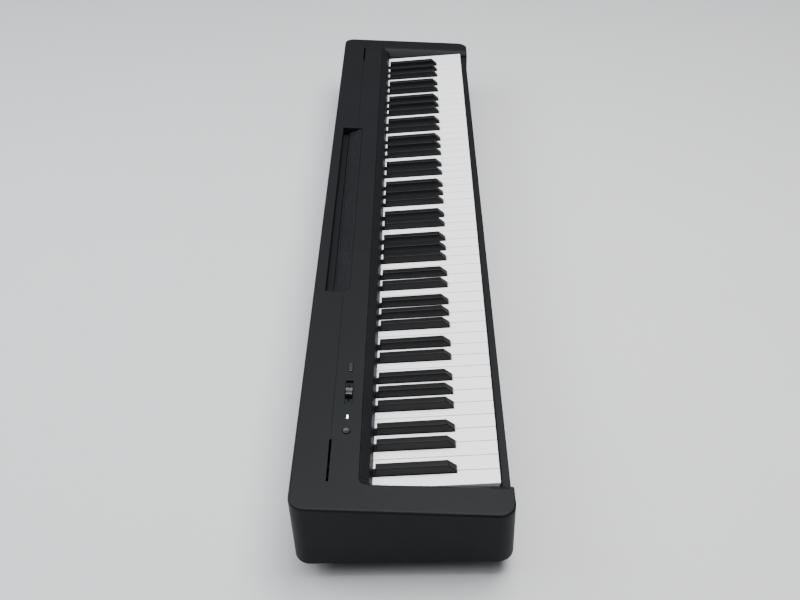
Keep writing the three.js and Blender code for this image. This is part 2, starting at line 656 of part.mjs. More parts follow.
// An oval loudspeaker: rim, basket and magnet.
function speaker() {
  const { length, width, top, depth, magnet } = SPEAKER;
  const oval = (grow) => roundedRectangle(-length / 2 - grow, length / 2 + grow,
    -width / 2 - grow, width / 2 + grow, width / 2 + grow - 0.01);
  const rim = upwards(oval(0), top - 3, top, 5);
  const basket = hull([
    ...outlinePoints(oval(-5), top - 2, 5),
    ...outlinePoints(oval(-14), top - 22, 5)]);
  const motor = bar(magnet, depth - 20, 'z', 0, 0, top - (depth + 20) / 2, 18);
  return join([rim, basket, motor]);
}

// The hole of a socket, open to the rear: a radius makes it round, a width and height make it square.
function socketBore(bore, depth) {
  const front = REAR_Y - depth;
  const back = REAR_Y + 1;
  if (typeof bore === 'number') return bar(bore, back - front, 'y', 0, (front + back) / 2, 0, 16);
  const [width, height] = bore;
  return block(-width / 2, width / 2, front, back, -height / 2, height / 2);
}

// A socket block that stands on the main board, with a sleeve through the rear wall.
function socket({ width, length, sleeve, depth, bore }) {
  const wallFace = REAR_Y - WALL - GAP;
  const sleeveFront = wallFace - 4;
  const low = MAIN_BOARD.top + GAP - SOCKET_Z;
  const body = block(-width / 2, width / 2, wallFace - length, wallFace, low, low + SOCKET_HEIGHT);
  const tube = bar(sleeve, REAR_Y - sleeveFront, 'y', 0, (REAR_Y + sleeveFront) / 2, 0, 20);
  return body.add(tube).subtract(socketBore(bore, depth));
}

// ---------------------------------------------------------------- assembly

const piano = new THREE.Group();

function place(parent, name, solid, material, x = 0, y = 0, z = 0) {
  const mesh = new THREE.Mesh(toGeometry(solid), material);
  mesh.name = name;
  mesh.position.set(x, y, z);
  parent.add(mesh);
  return mesh;
}

function placeOnTop(name, solid, material, x) {
  const mesh = place(piano, name, solid, material, x, CONTROLS_Y, topZ(CONTROLS_Y));
  mesh.rotation.x = TOP_ANGLE;
}

place(piano, 'upper_case', upperCase(), caseBlack);
place(piano, 'lower_case', lowerCase(), underBlack);
place(piano, 'keyslip', keyslip(), caseBlack);
place(piano, 'fallboard_strip', fallboardStrip(), caseBlack);
place(piano, 'speaker_grille', speakerGrille(), grilleBlack);

for (const [corner, [x, y]] of Object.entries(FEET)) {
  place(piano, `foot_${corner}`, foot(), rubberBlack, x, y);
}

placeOnTop('function_button', functionButton(), knobBlack, FUNCTION.x);
placeOnTop('volume_knob', volumeKnob(), knobBlack, VOLUME.x);
placeOnTop('power_lamp', powerLamp(), lampWhite, LAMP.x);
placeOnTop('power_button', powerButton(), knobBlack, POWER.x);

place(piano, 'key_frame', keyFrame(), chassisGrey);
place(piano, 'hammer_shaft', hammerShaft(), steel);
place(piano, 'key_bed_felt', keyBedFelt(), feltRed);
place(piano, 'hammer_stop_felt', hammerStopFelt(), feltRed);
place(piano, 'contact_board', contactBoard(), boardGreen);
place(piano, 'main_board', mainBoard(), boardGreen);
place(piano, 'panel_board', panelBoard(), boardGreen);
place(piano, 'speaker_left', speaker(), steel, -SPEAKER.x, SPEAKER.y);
place(piano, 'speaker_right', speaker(), steel, SPEAKER.x, SPEAKER.y);

for (const [name, size] of Object.entries(SOCKETS)) {
  const material = name === 'usb_port' ? steel : rubberBlack;
  place(piano, name, socket(size), material, size.x, 0, SOCKET_Z);
}

const ALL_NATURALS = [0, 1, 2, 3, 4, 5, 6];
const ALL_SHARPS = [0, 1, 2, 3, 4];

// One group of keys and hammers, drawn from the left edge of its C.
function placeGroup(name, startX, naturals, sharps) {
  const group = new THREE.Group();
  group.position.x = startX;
  piano.add(group);
  place(group, `${name}_naturals`, naturalSet(naturals, sharps), keyWhite);
  place(group, `${name}_natural_hammers`, naturalHammers(naturals, sharps), hammerSteel);
  if (sharps.length === 0) return;
  place(group, `${name}_sharps`, sharpSet(sharps), keyBlack);
  place(group, `${name}_sharp_hammers`, sharpHammers(sharps), hammerSteel);
}

const FIRST_C_X = KEYS_START_X + 2 * WHITE_PITCH;
placeGroup('bass', FIRST_C_X - OCTAVE, [5, 6], [4]);
for (let octave = 1; octave <= 7; octave += 1) {
  placeGroup(`octave_${octave}`, FIRST_C_X + (octave - 1) * OCTAVE, ALL_NATURALS, ALL_SHARPS);
}
placeGroup('top', FIRST_C_X + 7 * OCTAVE, [0], []);

export default piano;
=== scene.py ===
"""Looks of the slim 88-key digital piano: detailed pieces, materials, stage, light and camera.

Metres, +Z up, in the row frame: X runs from the bass end (-X) to the treble end, the player sits on -Y.
"""
import math

import bmesh
import bpy
from mathutils import Matrix, Vector


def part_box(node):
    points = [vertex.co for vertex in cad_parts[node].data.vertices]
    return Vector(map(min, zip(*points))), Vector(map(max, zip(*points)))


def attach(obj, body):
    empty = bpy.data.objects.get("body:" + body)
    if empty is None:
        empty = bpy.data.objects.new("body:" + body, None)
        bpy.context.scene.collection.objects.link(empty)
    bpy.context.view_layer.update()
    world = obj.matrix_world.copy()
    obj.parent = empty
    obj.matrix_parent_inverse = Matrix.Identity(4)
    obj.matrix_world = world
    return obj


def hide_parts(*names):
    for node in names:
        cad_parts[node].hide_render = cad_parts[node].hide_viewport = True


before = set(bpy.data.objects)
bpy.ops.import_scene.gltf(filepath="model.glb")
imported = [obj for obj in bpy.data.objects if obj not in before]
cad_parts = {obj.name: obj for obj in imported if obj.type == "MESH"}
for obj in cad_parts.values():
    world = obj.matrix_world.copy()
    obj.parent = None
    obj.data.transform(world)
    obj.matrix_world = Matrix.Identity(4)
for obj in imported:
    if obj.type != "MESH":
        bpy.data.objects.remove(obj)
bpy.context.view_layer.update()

MM = 0.001

# ---------------------------------------------------------------- places taken from the frame

CASE_LOW, CASE_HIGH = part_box("upper_case")
PAN_LOW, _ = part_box("lower_case")
KEYSLIP_LOW, KEYSLIP_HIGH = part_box("keyslip")
STRIP_LOW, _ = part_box("fallboard_strip")

# ---------------------------------------------------------------- sizes of the case, in metres

WALL = 3 * MM
GAP = 0.3 * MM
CORNER_RADIUS = 20 * MM
FRONT_TOP_Z = 110.5 * MM
LIP_PROUD = 0.8 * MM
LIP_LEFT, LIP_RIGHT, LIP_LOW, LIP_HIGH = -537 * MM, -394 * MM, 113 * MM, 121.5 * MM
FRONT_Y = CASE_LOW.y
REAR_Y = CASE_HIGH.y - LIP_PROUD
HALF_LENGTH = CASE_HIGH.x
EDGE_Z = CASE_LOW.z
TOP_SLOPE = (CASE_HIGH.z - FRONT_TOP_Z) / (REAR_Y - FRONT_Y)
TOP_ANGLE = math.atan(TOP_SLOPE)
OUTER_ROUND = 3.2 * MM
INNER_ROUND = 1.4 * MM

# The opening for the keyboard: at key level, and where it reaches the top.
BAY_HALF = 612.5 * MM
OPENING_HALF = 621.5 * MM
PANEL_FRONT_Y = 51 * MM
STRIP_FOOT_Y, STRIP_FOOT_Z = STRIP_LOW.y, STRIP_LOW.z
STRIP_BEND_Y, STRIP_BEND_Z = STRIP_FOOT_Y + 3.5 * MM, STRIP_FOOT_Z + 12 * MM
OPENING_RADIUS = 10 * MM
CHEEK_SLOPE_Z = 104 * MM
LEAN_MIDDLE_Z = (CHEEK_SLOPE_Z + STRIP_BEND_Z) / 2

# The speaker grille, and the slot behind it that its rear edge turns into.
GRILLE_HALF = 252 * MM
GRILLE_FRONT_Y = 80 * MM
TRENCH_FRONT_Y = 106 * MM
GRILLE_REAR_Y = 116 * MM
TRENCH_DEPTH = 16 * MM
GRILLE_DROP = 12 * MM
GRILLE_PITCH, GRILLE_HOLE_RADIUS, GRILLE_SHEET = 2.5 * MM, 0.8 * MM, 0.8 * MM

# The controls on the panel, and the slots for a music rest with the seam between them.
CONTROLS_Y = 70 * MM
FUNCTION_X, FUNCTION_SIZE = -418 * MM, (16 * MM, 5.4 * MM)
VOLUME_X, VOLUME_SIZE, VOLUME_DEPTH = -466.5 * MM, (45 * MM, 10 * MM), 3.5 * MM
VOLUME_SLIT = (34 * MM, 1.8 * MM)
KNOB_LENGTH, KNOB_HEIGHT, KNOB_SHOULDER, KNOB_HOLLOW = 15.5 * MM, 3.6 * MM, 3.2 * MM, 1.3 * MM
LAMP_X, LAMP_SIZE = -511 * MM, (6 * MM, 2 * MM)
POWER_X, POWER_RADIUS = -536 * MM, 4.6 * MM
FLANGE_TOP, FLANGE_LOW = -3.3 * MM, -5.3 * MM
REST_SLOT_Y, REST_SLOT_INNER, REST_SLOT_OUTER, REST_SLOT_WIDTH = 88.7 * MM, 551 * MM, 619 * MM, 2.7 * MM
REST_SLOT_MIDDLE = (REST_SLOT_INNER + REST_SLOT_OUTER) / 2

SOCKET_Z, SOCKET_HOLE_RADIUS = 72 * MM, 7.4 * MM
SOCKET_X = {"usb_port": -424 * MM, "headphone_jack": -450 * MM, "pedal_jack": -480 * MM, "dc_jack": -508 * MM}

SCREW_XS = [x * MM for x in (-600, -360, -120, 120, 360, 600)]
SCREW_YS = [y * MM for y in (-92, 90)]

# ---------------------------------------------------------------- sizes of the keyboard

WHITE_PITCH = 23.5 * MM
WHITE_GAP = 1.0 * MM
OCTAVE = 7 * WHITE_PITCH
KEY_FRONT_Y = -118.6 * MM
KEY_TOP_Z, KEY_TOP_FALL = 109.1 * MM, 0.0515
KEY_UNDER_Z, KEY_UNDER_FALL = 97 * MM, 0.035
KEY_LIP_Z, KEY_LIP_DEPTH = 89 * MM, 6.6 * MM
KEY_SKIN, KEY_OVERHANG, KEY_ROUND = 3.6 * MM, 1.0 * MM, 0.48 * MM
SHARP_FRONT_Y, SHARP_FRONT_RISE = -66.4 * MM, 2 * MM
SHARP_CREST_Y, SHARP_CREST_Z = -56 * MM, 118.2 * MM
SHARP_REAR_Y, SHARP_REAR_Z = 32.9 * MM, 113 * MM
SHARP_BASE_WIDTH = 12.1 * MM
SHARP_TOP_WIDTH = 9.5 * MM
SHARP_BODY_WIDTH = 10.2 * MM
SHARP_CLEARANCE = 0.9 * MM
SHARP_ROUND = 0.95 * MM
HINGE_Y, HINGE_Z = 70 * MM, 93 * MM
FIRST_C_X = -24 * WHITE_PITCH


def top_z(y):
    """Height of the sloping top surface."""
    return CASE_HIGH.z - TOP_SLOPE * (REAR_Y - y)


def square_to_top(x, y):
    """Frame that stands square on the top surface at (x, y)."""
    return Matrix.Translation((x, y, top_z(y))) @ Matrix.Rotation(TOP_ANGLE, 4, "X")


# ---------------------------------------------------------------- materials


def new_material(name):
    material = bpy.data.materials.new(name)
    material.use_nodes = True
    tree = material.node_tree
    return material, tree, tree.nodes["Principled BSDF"]


def link(tree, out, into):
    tree.links.new(out, into)


def noise_node(tree, scale, detail=2.0, roughness=0.5):
    place = tree.nodes.new("ShaderNodeTexCoord")
    node = tree.nodes.new("ShaderNodeTexNoise")
    node.inputs["Scale"].default_value = scale
    node.inputs["Detail"].default_value = detail
    node.inputs["Roughness"].default_value = roughness
    link(tree, place.outputs["Object"], node.inputs["Vector"])
    return node


def vary_colour(tree, shader, color, amount, scale):
    """A base colour that drifts a little, as a moulding's does."""
    source = noise_node(tree, scale, 3.0)
    ramp = tree.nodes.new("ShaderNodeValToRGB")
    low = [channel * (1 - amount) for channel in color]
    high = [min(channel * (1 + amount), 1) for channel in color]
    ramp.color_ramp.elements[0].color = (*low, 1)
    ramp.color_ramp.elements[1].color = (*high, 1)
    ramp.color_ramp.elements[0].position = 0.3
    ramp.color_ramp.elements[1].position = 0.7
    link(tree, source.outputs["Fac"], ramp.inputs["Fac"])
    link(tree, ramp.outputs["Color"], shader.inputs["Base Color"])


def vary_roughness(tree, shader, low, high, scale):
    source = noise_node(tree, scale, 4.0)
    span = tree.nodes.new("ShaderNodeMapRange")
    span.inputs["To Min"].default_value = low
    span.inputs["To Max"].default_value = high
    link(tree, source.outputs["Fac"], span.inputs["Value"])
    link(tree, span.outputs["Result"], shader.inputs["Roughness"])


def grain(tree, shader, scale, strength, depth, pits=0.5):
    """A spark-eroded mould texture: fine noise with the pits of a cell pattern."""
    fine = noise_node(tree, scale, 3.0, 0.6)
    cells = tree.nodes.new("ShaderNodeTexVoronoi")
    cells.inputs["Scale"].default_value = scale * 0.8
    place = tree.nodes.new("ShaderNodeTexCoord")
    link(tree, place.outputs["Object"], cells.inputs["Vector"])
    both = tree.nodes.new("ShaderNodeMath")
    both.operation = "MULTIPLY_ADD"
    both.inputs[1].default_value = pits
    link(tree, cells.outputs["Distance"], both.inputs[0])
    link(tree, fine.outputs["Fac"], both.inputs[2])
    bump = tree.nodes.new("ShaderNodeBump")
    bump.inputs["Strength"].default_value = strength
    bump.inputs["Distance"].default_value = depth
    link(tree, both.outputs["Value"], bump.inputs["Height"])
    link(tree, bump.outputs["Normal"], shader.inputs["Normal"])


def moulded(name, color, rough, grain_scale, grain_strength, depth=0.06 * MM, drift=0.08, specular=0.5):
    """Moulded plastic with a grain, a drifting colour and a drifting roughness."""
    material, tree, shader = new_material(name)
    vary_colour(tree, shader, color, drift, 9)
    vary_roughness(tree, shader, rough - 0.05, rough + 0.05, 35)
    grain(tree, shader, grain_scale, grain_strength, depth)
    shader.inputs["Specular IOR Level"].default_value = specular
    return material


def metal(name, color, rough, brush=0.0):
    material, tree, shader = new_material(name)
    vary_colour(tree, shader, color, 0.06, 40)
    vary_roughness(tree, shader, rough - 0.06, rough + 0.06, 260)
    shader.inputs["Metallic"].default_value = 1.0
    if brush:
        grain(tree, shader, 900, brush, 0.02 * MM, 0.1)
    return material


def glossy_key(name, color, rough, coat):
    material, tree, shader = new_material(name)
    vary_colour(tree, shader, color, 0.012, 14)
    vary_roughness(tree, shader, rough - 0.03, rough + 0.04, 60)
    grain(tree, shader, 320, 0.05, 0.03 * MM, 0.1)
    shader.inputs["Coat Weight"].default_value = coat
    shader.inputs["Coat Roughness"].default_value = 0.18
    return material


def felt(name, color):
    material, tree, shader = new_material(name)
    vary_colour(tree, shader, color, 0.3, 260)
    grain(tree, shader, 700, 0.7, 0.3 * MM, 0.2)
    shader.inputs["Roughness"].default_value = 0.95
    shader.inputs["Sheen Weight"].default_value = 0.5
    return material


def lamp_glow(name, color, strength):
    material, tree, shader = new_material(name)
    vary_colour(tree, shader, color, 0.02, 500)
    shader.inputs["Emission Color"].default_value = (*color, 1)
    shader.inputs["Emission Strength"].default_value = strength
    shader.inputs["Roughness"].default_value = 0.2
    return material


def circuit_board(name, mask):
    """Solder mask with paler copper tracks under it."""
    material, tree, shader = new_material(name)
    tracks = tree.nodes.new("ShaderNodeTexBrick")
    place = tree.nodes.new("ShaderNodeTexCoord")
    tracks.inputs["Scale"].default_value = 60
    for socket, share in (("Color1", 1.3), ("Color2", 1), ("Mortar", 2.2)):
        tracks.inputs[socket].default_value = (*(share * channel for channel in mask), 1)
    tracks.inputs["Mortar Size"].default_value = 0.03
    link(tree, place.outputs["Object"], tracks.inputs["Vector"])
    link(tree, tracks.outputs["Color"], shader.inputs["Base Color"])
    vary_roughness(tree, shader, 0.3, 0.5, 90)
    return material


CASE_PLASTIC = moulded("case_plastic", (0.0048, 0.0051, 0.0062), 0.55, 1900, 0.28, specular=0.15)
# The strip is the case's black plastic made about a tenth darker: painted shade for its steep slope, which
# turns it away from the light.
STRIP_PLASTIC_PAINTED_SHADE = moulded("strip_plastic_painted_shade", (0.0042, 0.0045, 0.0054), 0.5, 2200, 0.2, specular=0.17)
UNDER_PLASTIC = moulded("under_plastic", (0.0075, 0.0077, 0.0086), 0.66, 1100, 0.45)
CONTROL_PLASTIC = moulded("control_plastic", (0.0045, 0.0045, 0.005), 0.4, 2600, 0.16)
SOCKET_PLASTIC = moulded("socket_plastic", (0.006, 0.006, 0.0065), 0.5, 1800, 0.2)
CHASSIS_PLASTIC = moulded("chassis_plastic", (0.07, 0.073, 0.08), 0.6, 900, 0.3)
HAMMER_PLASTIC = moulded("hammer_plastic", (0.22, 0.22, 0.23), 0.55, 900, 0.3)
RUBBER = moulded("foot_rubber", (0.008, 0.008, 0.0085), 0.8, 1500, 0.5, 0.1 * MM)
WHITE_KEY = glossy_key("white_key", (0.83, 0.83, 0.825), 0.32, 0.2)
BLACK_KEY = moulded("black_key", (0.0034, 0.0037, 0.0046), 0.38, 2600, 0.22, 0.04 * MM, 0.05, 0.2)
GRILLE_METAL = metal("grille_metal", (0.028, 0.028, 0.031), 0.5)
STEEL = metal("bright_steel", (0.62, 0.62, 0.64), 0.3, 0.1)
SPEAKER_STEEL = metal("speaker_steel", (0.36, 0.36, 0.37), 0.42, 0.15)
FELT = felt("red_felt", (0.26, 0.025, 0.03))
LAMP = lamp_glow("lamp_glow", (0.92, 0.96, 1.0), 5.0)
BOARD = circuit_board("circuit_board", (0.015, 0.09, 0.04))
DARK_BOARD = circuit_board("dark_circuit_board", (0.004, 0.006, 0.005))


# ---------------------------------------------------------------- mesh helpers


def round_over(mesh, angle):
    """Normals that make bevels look round while every large face stays exactly flat."""
    limit = math.cos(math.radians(angle))
    faces = [(face.normal.copy(), face.area) for face in mesh.polygons]
    around = [[] for _ in mesh.vertices]
    for face in mesh.polygons:
        for vertex in face.vertices:
            around[vertex].append(face.index)
    normals = []
    for face in mesh.polygons:
        own = faces[face.index][0]
        for vertex in face.vertices:
            near = [faces[k] for k in around[vertex] if faces[k][0].dot(own) > limit]
            if not near:
                normals.append(own)
                continue
            largest = max(area for _, area in near)
            strong = [normal * area for normal, area in near if area > 0.25 * largest]
            normals.append(sum(strong, Vector()).normalized())
    mesh.normals_split_custom_set(normals)


def finish_piece(name, mesh, material, body, angle=35, rounded=True):
    """Makes the object, shades it smooth with its hard edges kept, and lets it ride on its body."""
    mesh.materials.clear()
    mesh.materials.append(material)
    mesh.shade_smooth()
    if rounded:
        round_over(mesh, angle)
    else:
        mesh.set_sharp_from_angle(angle=math.radians(angle))
    piece = bpy.data.objects.new(name, mesh)
    bpy.context.scene.collection.objects.link(piece)
    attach(piece, body)
    return piece


def to_mesh(bm, name):
    bmesh.ops.recalc_face_normals(bm, faces=bm.faces)
    mesh = bpy.data.meshes.new(name)
    bm.to_mesh(mesh)
    bm.free()
    return mesh


def loft(loops):
    """Closed loops of equal length, joined by quads and capped at the first and the last."""
    bm = bmesh.new()
    rings = [[bm.verts.new(point) for point in loop] for loop in loops]
    count = len(rings[0])
    for low, high in zip(rings, rings[1:]):
        for i in range(count):
            j = (i + 1) % count
            bm.faces.new((low[i], low[j], high[j], high[i]))
    bm.faces.new(list(reversed(rings[0])))
    bm.faces.new(rings[-1])
    return bm


def box_mesh(low, high, name="box"):
    bm = bmesh.new()
    bmesh.ops.create_cube(bm, size=1)
    low, high = Vector(low), Vector(high)
    size = high - low
    place = Matrix.Translation((low + high) / 2) @ Matrix.Diagonal((*size, 1))
    bmesh.ops.transform(bm, matrix=place, verts=bm.verts)
    return to_mesh(bm, name)


def rounded_box(low, high, radius, segments=3):
    bm = bmesh.new()
    bm.from_mesh(box_mesh(low, high))
    bmesh.ops.bevel(bm, geom=bm.edges[:], offset=radius, segments=segments, affect="EDGES", profile=0.5)
    return to_mesh(bm, "box")


def rounded_rectangle(x0, x1, y0, y1, radius, segments=6):
    """Plan points of a rounded rectangle, anticlockwise."""
    centres = [(x1 - radius, y0 + radius, -90), (x1 - radius, y1 - radius, 0),
               (x0 + radius, y1 - radius, 90), (x0 + radius, y0 + radius, 180)]
    points = []
    for cx, cy, start in centres:
        for k in range(segments + 1):
            a = math.radians(start + 90 * k / segments)
            points.append((cx + radius * math.cos(a), cy + radius * math.sin(a)))
    return points


def centred_rectangle(length, width, radius, grow=0.0, segments=5):
    half_x, half_y = length / 2 + grow, width / 2 + grow
    return rounded_rectangle(-half_x, half_x, -half_y, half_y, max(radius + grow, 0.05 * MM), segments)


def circle(radius, count=40):
    angles = [2 * math.pi * k / count for k in range(count)]
    return [(radius * math.cos(a), radius * math.sin(a)) for a in angles]


def at_height(points, z):
    return [(x, y, z) for x, y in points]


def turned(profile, count=40, closed=True):
    """A body of revolution about Z from (radius, z) pairs; a radius of 0 closes it on the axis."""
    bm = bmesh.new()
    rings = []
    for radius, z in profile:
        if radius == 0:
            rings.append([bm.verts.new((0, 0, z))])
        else:
            rings.append([bm.verts.new((x, y, z)) for x, y in circle(radius, count)])
    pairs = list(zip(rings, rings[1:]))
    if closed:
        pairs.append((rings[-1], rings[0]))
    for low, high in pairs:
        for i in range(count):
            j = (i + 1) % count
            face = [low[i % len(low)], low[j % len(low)], high[j % len(high)], high[i % len(high)]]
            unique = list(dict.fromkeys(face))
            if len(unique) > 2:
                bm.faces.new(unique)
    return bm


def moved(mesh, matrix):
    mesh.transform(matrix)
    return mesh


def boolean(mesh, tools, operation="DIFFERENCE"):
    """The mesh with every tool cut from it, or joined to it."""
    target = bpy.data.objects.new("target", mesh)
    scene = bpy.context.scene.collection
    scene.objects.link(target)
    helpers = []
    for tool in tools:
        helper = bpy.data.objects.new("tool", tool)
        scene.objects.link(helper)
        step = target.modifiers.new("cut", "BOOLEAN")
        step.object = helper
        step.operation = operation
        step.solver = "EXACT"
        helpers.append(helper)
    graph = bpy.context.evaluated_depsgraph_get()
    result = bpy.data.meshes.new_from_object(target.evaluated_get(graph))
    for thing in (target, *helpers):
        bpy.data.objects.remove(thing)
    return result


def sliced(mesh, xs=(), ys=(), zs=()):
    """The mesh cut across at each place, so that a hole made there later crosses several faces."""
    bm = bmesh.new()
    bm.from_mesh(mesh)
    for axis, places in enumerate((xs, ys, zs)):
        normal = Vector((axis == 0, axis == 1, axis == 2))
        for place in places:
            geometry = bm.verts[:] + bm.edges[:] + bm.faces[:]
            bmesh.ops.bisect_plane(bm, geom=geometry, dist=1e-7, plane_co=normal * place, plane_no=normal)
    return to_mesh(bm, mesh.name)


def hole_tool(outline, depth, mouth):
    """A cutter that goes `depth` below its origin and flares out at the top to break the edge.

    `outline` gives the plan of the hole, grown outwards by the distance that it is called with.
    """
    flare, clear = 1.56 * mouth, 2 * MM
    rings = [(0, -depth), (0, -mouth), (0.35 * mouth, -0.35 * mouth), (flare, 0.3 * mouth), (flare, clear)]
    return to_mesh(loft([at_height(outline(grow), z) for grow, z in rings]), "tool")


def rectangle_hole(size, spare, radius, depth, mouth):
    """A cutter for a hole `spare` longer and wider than the rectangular piece that sits in it."""
    length, width = size[0] + spare, size[1] + spare
    return hole_tool(lambda grow: centred_rectangle(length, width, radius, grow), depth, mouth)


def prism(points, z0, z1):
    return to_mesh(loft([at_height(points, z0), at_height(points, z1)]), "prism")


def along_x(outline, x0, x1, name="bar"):
    """A (y, z) outline carried along X."""
    return to_mesh(loft([[(x0, y, z) for y, z in outline], [(x1, y, z) for y, z in outline]]), name)


def bevelled(mesh, width, segments=3, angle=30):
    """Rounds every edge sharper than `angle`."""
    bm = bmesh.new()
    bm.from_mesh(mesh)
    bmesh.ops.remove_doubles(bm, verts=bm.verts, dist=1e-7)
    limit = math.radians(angle)
    edges = [edge for edge in bm.edges if edge.is_manifold and edge.calc_face_angle(0) > limit]
    bmesh.ops.bevel(bm, geom=edges, offset=width, segments=segments, affect="EDGES", profile=0.5,
                    clamp_overlap=True)
    return to_mesh(bm, mesh.name)


# ---------------------------------------------------------------- upper case


def case_outline():
    """Points of the C-shaped plan of the upper case, anticlockwise.

    Each entry is (top place, bend place, base place, outward direction, is inner). Places are (x, y) and
    the bend place is (x, y, z): the walls beside the keys lean outwards from the base place at key level,
    and the wall behind the keys bends with the strip.
    """
    entries = []

    def outer_arc(cx, cy, start, segments=10):
        for k in range(segments + 1):
            a = math.radians(start + 90 * k / segments)
            out = Vector((math.cos(a), math.sin(a)))
            place = Vector((cx, cy)) + CORNER_RADIUS * out
            entries.append((place, (place.x, place.y, LEAN_MIDDLE_Z), place, out, False))

    def inner_arc(side, start, end, segments=6):
        """The rounded corner where the leaning wall turns from a cheek into the panel's front edge."""
        top = Vector((side * (OPENING_HALF - OPENING_RADIUS), PANEL_FRONT_Y - OPENING_RADIUS))
        small, middle = 2.5 * MM, 6 * MM
        base = Vector((side * (BAY_HALF - small), STRIP_FOOT_Y - small))
        bend = Vector((side * ((BAY_HALF + OPENING_HALF) / 2 - middle), STRIP_BEND_Y - middle))
        for k in range(segments + 1):
            a = math.radians(start + (end - start) * k / segments)
            away = Vector((math.cos(a), math.sin(a)))
            at_bend = bend + middle * away
            entries.append((top + OPENING_RADIUS * away, (at_bend.x, at_bend.y, STRIP_BEND_Z),
                            base + small * away, -away, True))

    right, left = HALF_LENGTH - CORNER_RADIUS, -HALF_LENGTH + CORNER_RADIUS
    front, rear = FRONT_Y + CORNER_RADIUS, REAR_Y - CORNER_RADIUS
    lean_x = (BAY_HALF + OPENING_HALF) / 2
    lean_z = (CHEEK_SLOPE_Z + top_z(FRONT_Y)) / 2
    entries.append((Vector((OPENING_HALF, FRONT_Y)), (lean_x, FRONT_Y, lean_z),
                    Vector((BAY_HALF, FRONT_Y)), Vector((-1, -1)), True))
    outer_arc(right, front, -90)
    outer_arc(right, rear, 0)
    outer_arc(left, rear, 90)
    outer_arc(left, front, 180)
    entries.append((Vector((-OPENING_HALF, FRONT_Y)), (-lean_x, FRONT_Y, lean_z),
                    Vector((-BAY_HALF, FRONT_Y)), Vector((1, -1)), True))
    inner_arc(-1, 180, 90)
    inner_arc(1, 90, 0)
    return entries


def case_outside():
    """The solid outer form of the upper case, with its rounded top edge."""
    entries = case_outline()

    def loop(inset, drop, from_top):
        points = []
        for top, _bend, base, out, inner in entries:
            reach = INNER_ROUND / OUTER_ROUND if inner else 1.0
            if from_top:
                place = top - out * inset * reach
                points.append((place.x, place.y, top_z(place.y) - drop * reach))
            else:
                place = base - out * inset * reach
                points.append((place.x, place.y, drop))
        return points

    loops = [loop(0.8 * MM, EDGE_Z, False), loop(0, EDGE_Z + 0.8 * MM, False),
             loop(0, CHEEK_SLOPE_Z, False), [bend for _top, bend, *_rest in entries]]
    steps = 6
    for k in range(steps + 1):
        a = math.radians(90 * k / steps)
        loops.append(loop(OUTER_ROUND * (1 - math.cos(a)), OUTER_ROUND * (1 - math.sin(a)), True))
    return to_mesh(loft(loops), "case_outside")


def sloped_prism(points, z0, under):
    """A plan outline carried from z0 up to `under` below the sloping top."""
    low = at_height(points, z0)
    high = [(x, y, top_z(y) - under) for x, y in points]
    return to_mesh(loft([low, high]), "sloped")


def case_hollow():
    """The space inside the walls, with the rims of the grille recess and volume pocket left standing."""
    deep = EDGE_Z - 5 * MM
    wall_x, front, panel = OPENING_HALF + WALL, FRONT_Y + WALL, PANEL_FRONT_Y + WALL
    end_x, rear = HALF_LENGTH - WALL, REAR_Y - WALL
    plan = rounded_rectangle(-end_x, end_x, front, rear, CORNER_RADIUS - WALL)
    plan += [(-wall_x, front), (-wall_x, panel), (wall_x, panel), (wall_x, front)]
    recess_floor = top_z(GRILLE_REAR_Y) - TRENCH_DEPTH - 2.5 * MM
    rim = box_mesh((-GRILLE_HALF - WALL, GRILLE_FRONT_Y - WALL, recess_floor),
                   (GRILLE_HALF + WALL, GRILLE_REAR_Y + WALL, 0.2))
    half_x, half_y = (size / 2 + 2 * MM for size in VOLUME_SIZE)
    pocket = box_mesh((-half_x, -half_y, -6 * MM), (half_x, half_y, 8 * MM))
    pocket = moved(pocket, square_to_top(VOLUME_X, CONTROLS_Y))
    return boolean(sloped_prism(plan, deep, WALL), [rim, pocket])


def key_spaces():
    """Cutters for the strip's place, for the keys below it and for their rear ends under the panel."""
    inner = BAY_HALF - 3.2 * MM
    strip = box_mesh((-inner, -0.3, 0.0), (inner, PANEL_FRONT_Y + 0.02 * MM, 0.2))
    keys_x = BAY_HALF - 0.02 * MM
    keys = box_mesh((-keys_x, -0.2, 0.0), (keys_x, HINGE_Y + 8 * MM, STRIP_FOOT_Z))
    wide, rear_y = inner + 0.1 * MM, PANEL_FRONT_Y + 2 * WALL
    rear_plan = [(-wide, 0), (wide, 0), (wide, rear_y), (-wide, rear_y)]
    return [strip, keys, sloped_prism(rear_plan, EDGE_Z - 8 * MM, WALL + 0.1 * MM)]


def recess_tools():
    """Cutters for the opening under the grille and for the slot behind it."""
    lift = 20 * MM
    mouth = 0.9 * MM
    floor = top_z(GRILLE_REAR_Y) - TRENCH_DEPTH
    loops = []
    rings = [(0, TRENCH_DEPTH), (0, mouth), (0.3 * mouth, 0.3 * mouth), (1.7 * mouth, -0.3 * mouth),
             (1.7 * mouth, -lift)]
    for grow, drop in rings:
        points = rounded_rectangle(-GRILLE_HALF - grow, GRILLE_HALF + grow, GRILLE_FRONT_Y - grow,
                                   GRILLE_REAR_Y + grow, 1.2 * MM + grow, 4)
        loops.append([(x, y, floor if drop == TRENCH_DEPTH else top_z(y) - drop) for x, y in points])
    recess = to_mesh(loft(loops), "recess")
    inside = 0.05 * MM
    through = box_mesh((-GRILLE_HALF + inside, GRILLE_FRONT_Y + inside, 60 * MM),
                       (GRILLE_HALF - inside, TRENCH_FRONT_Y, 0.12))
    return [recess, through]


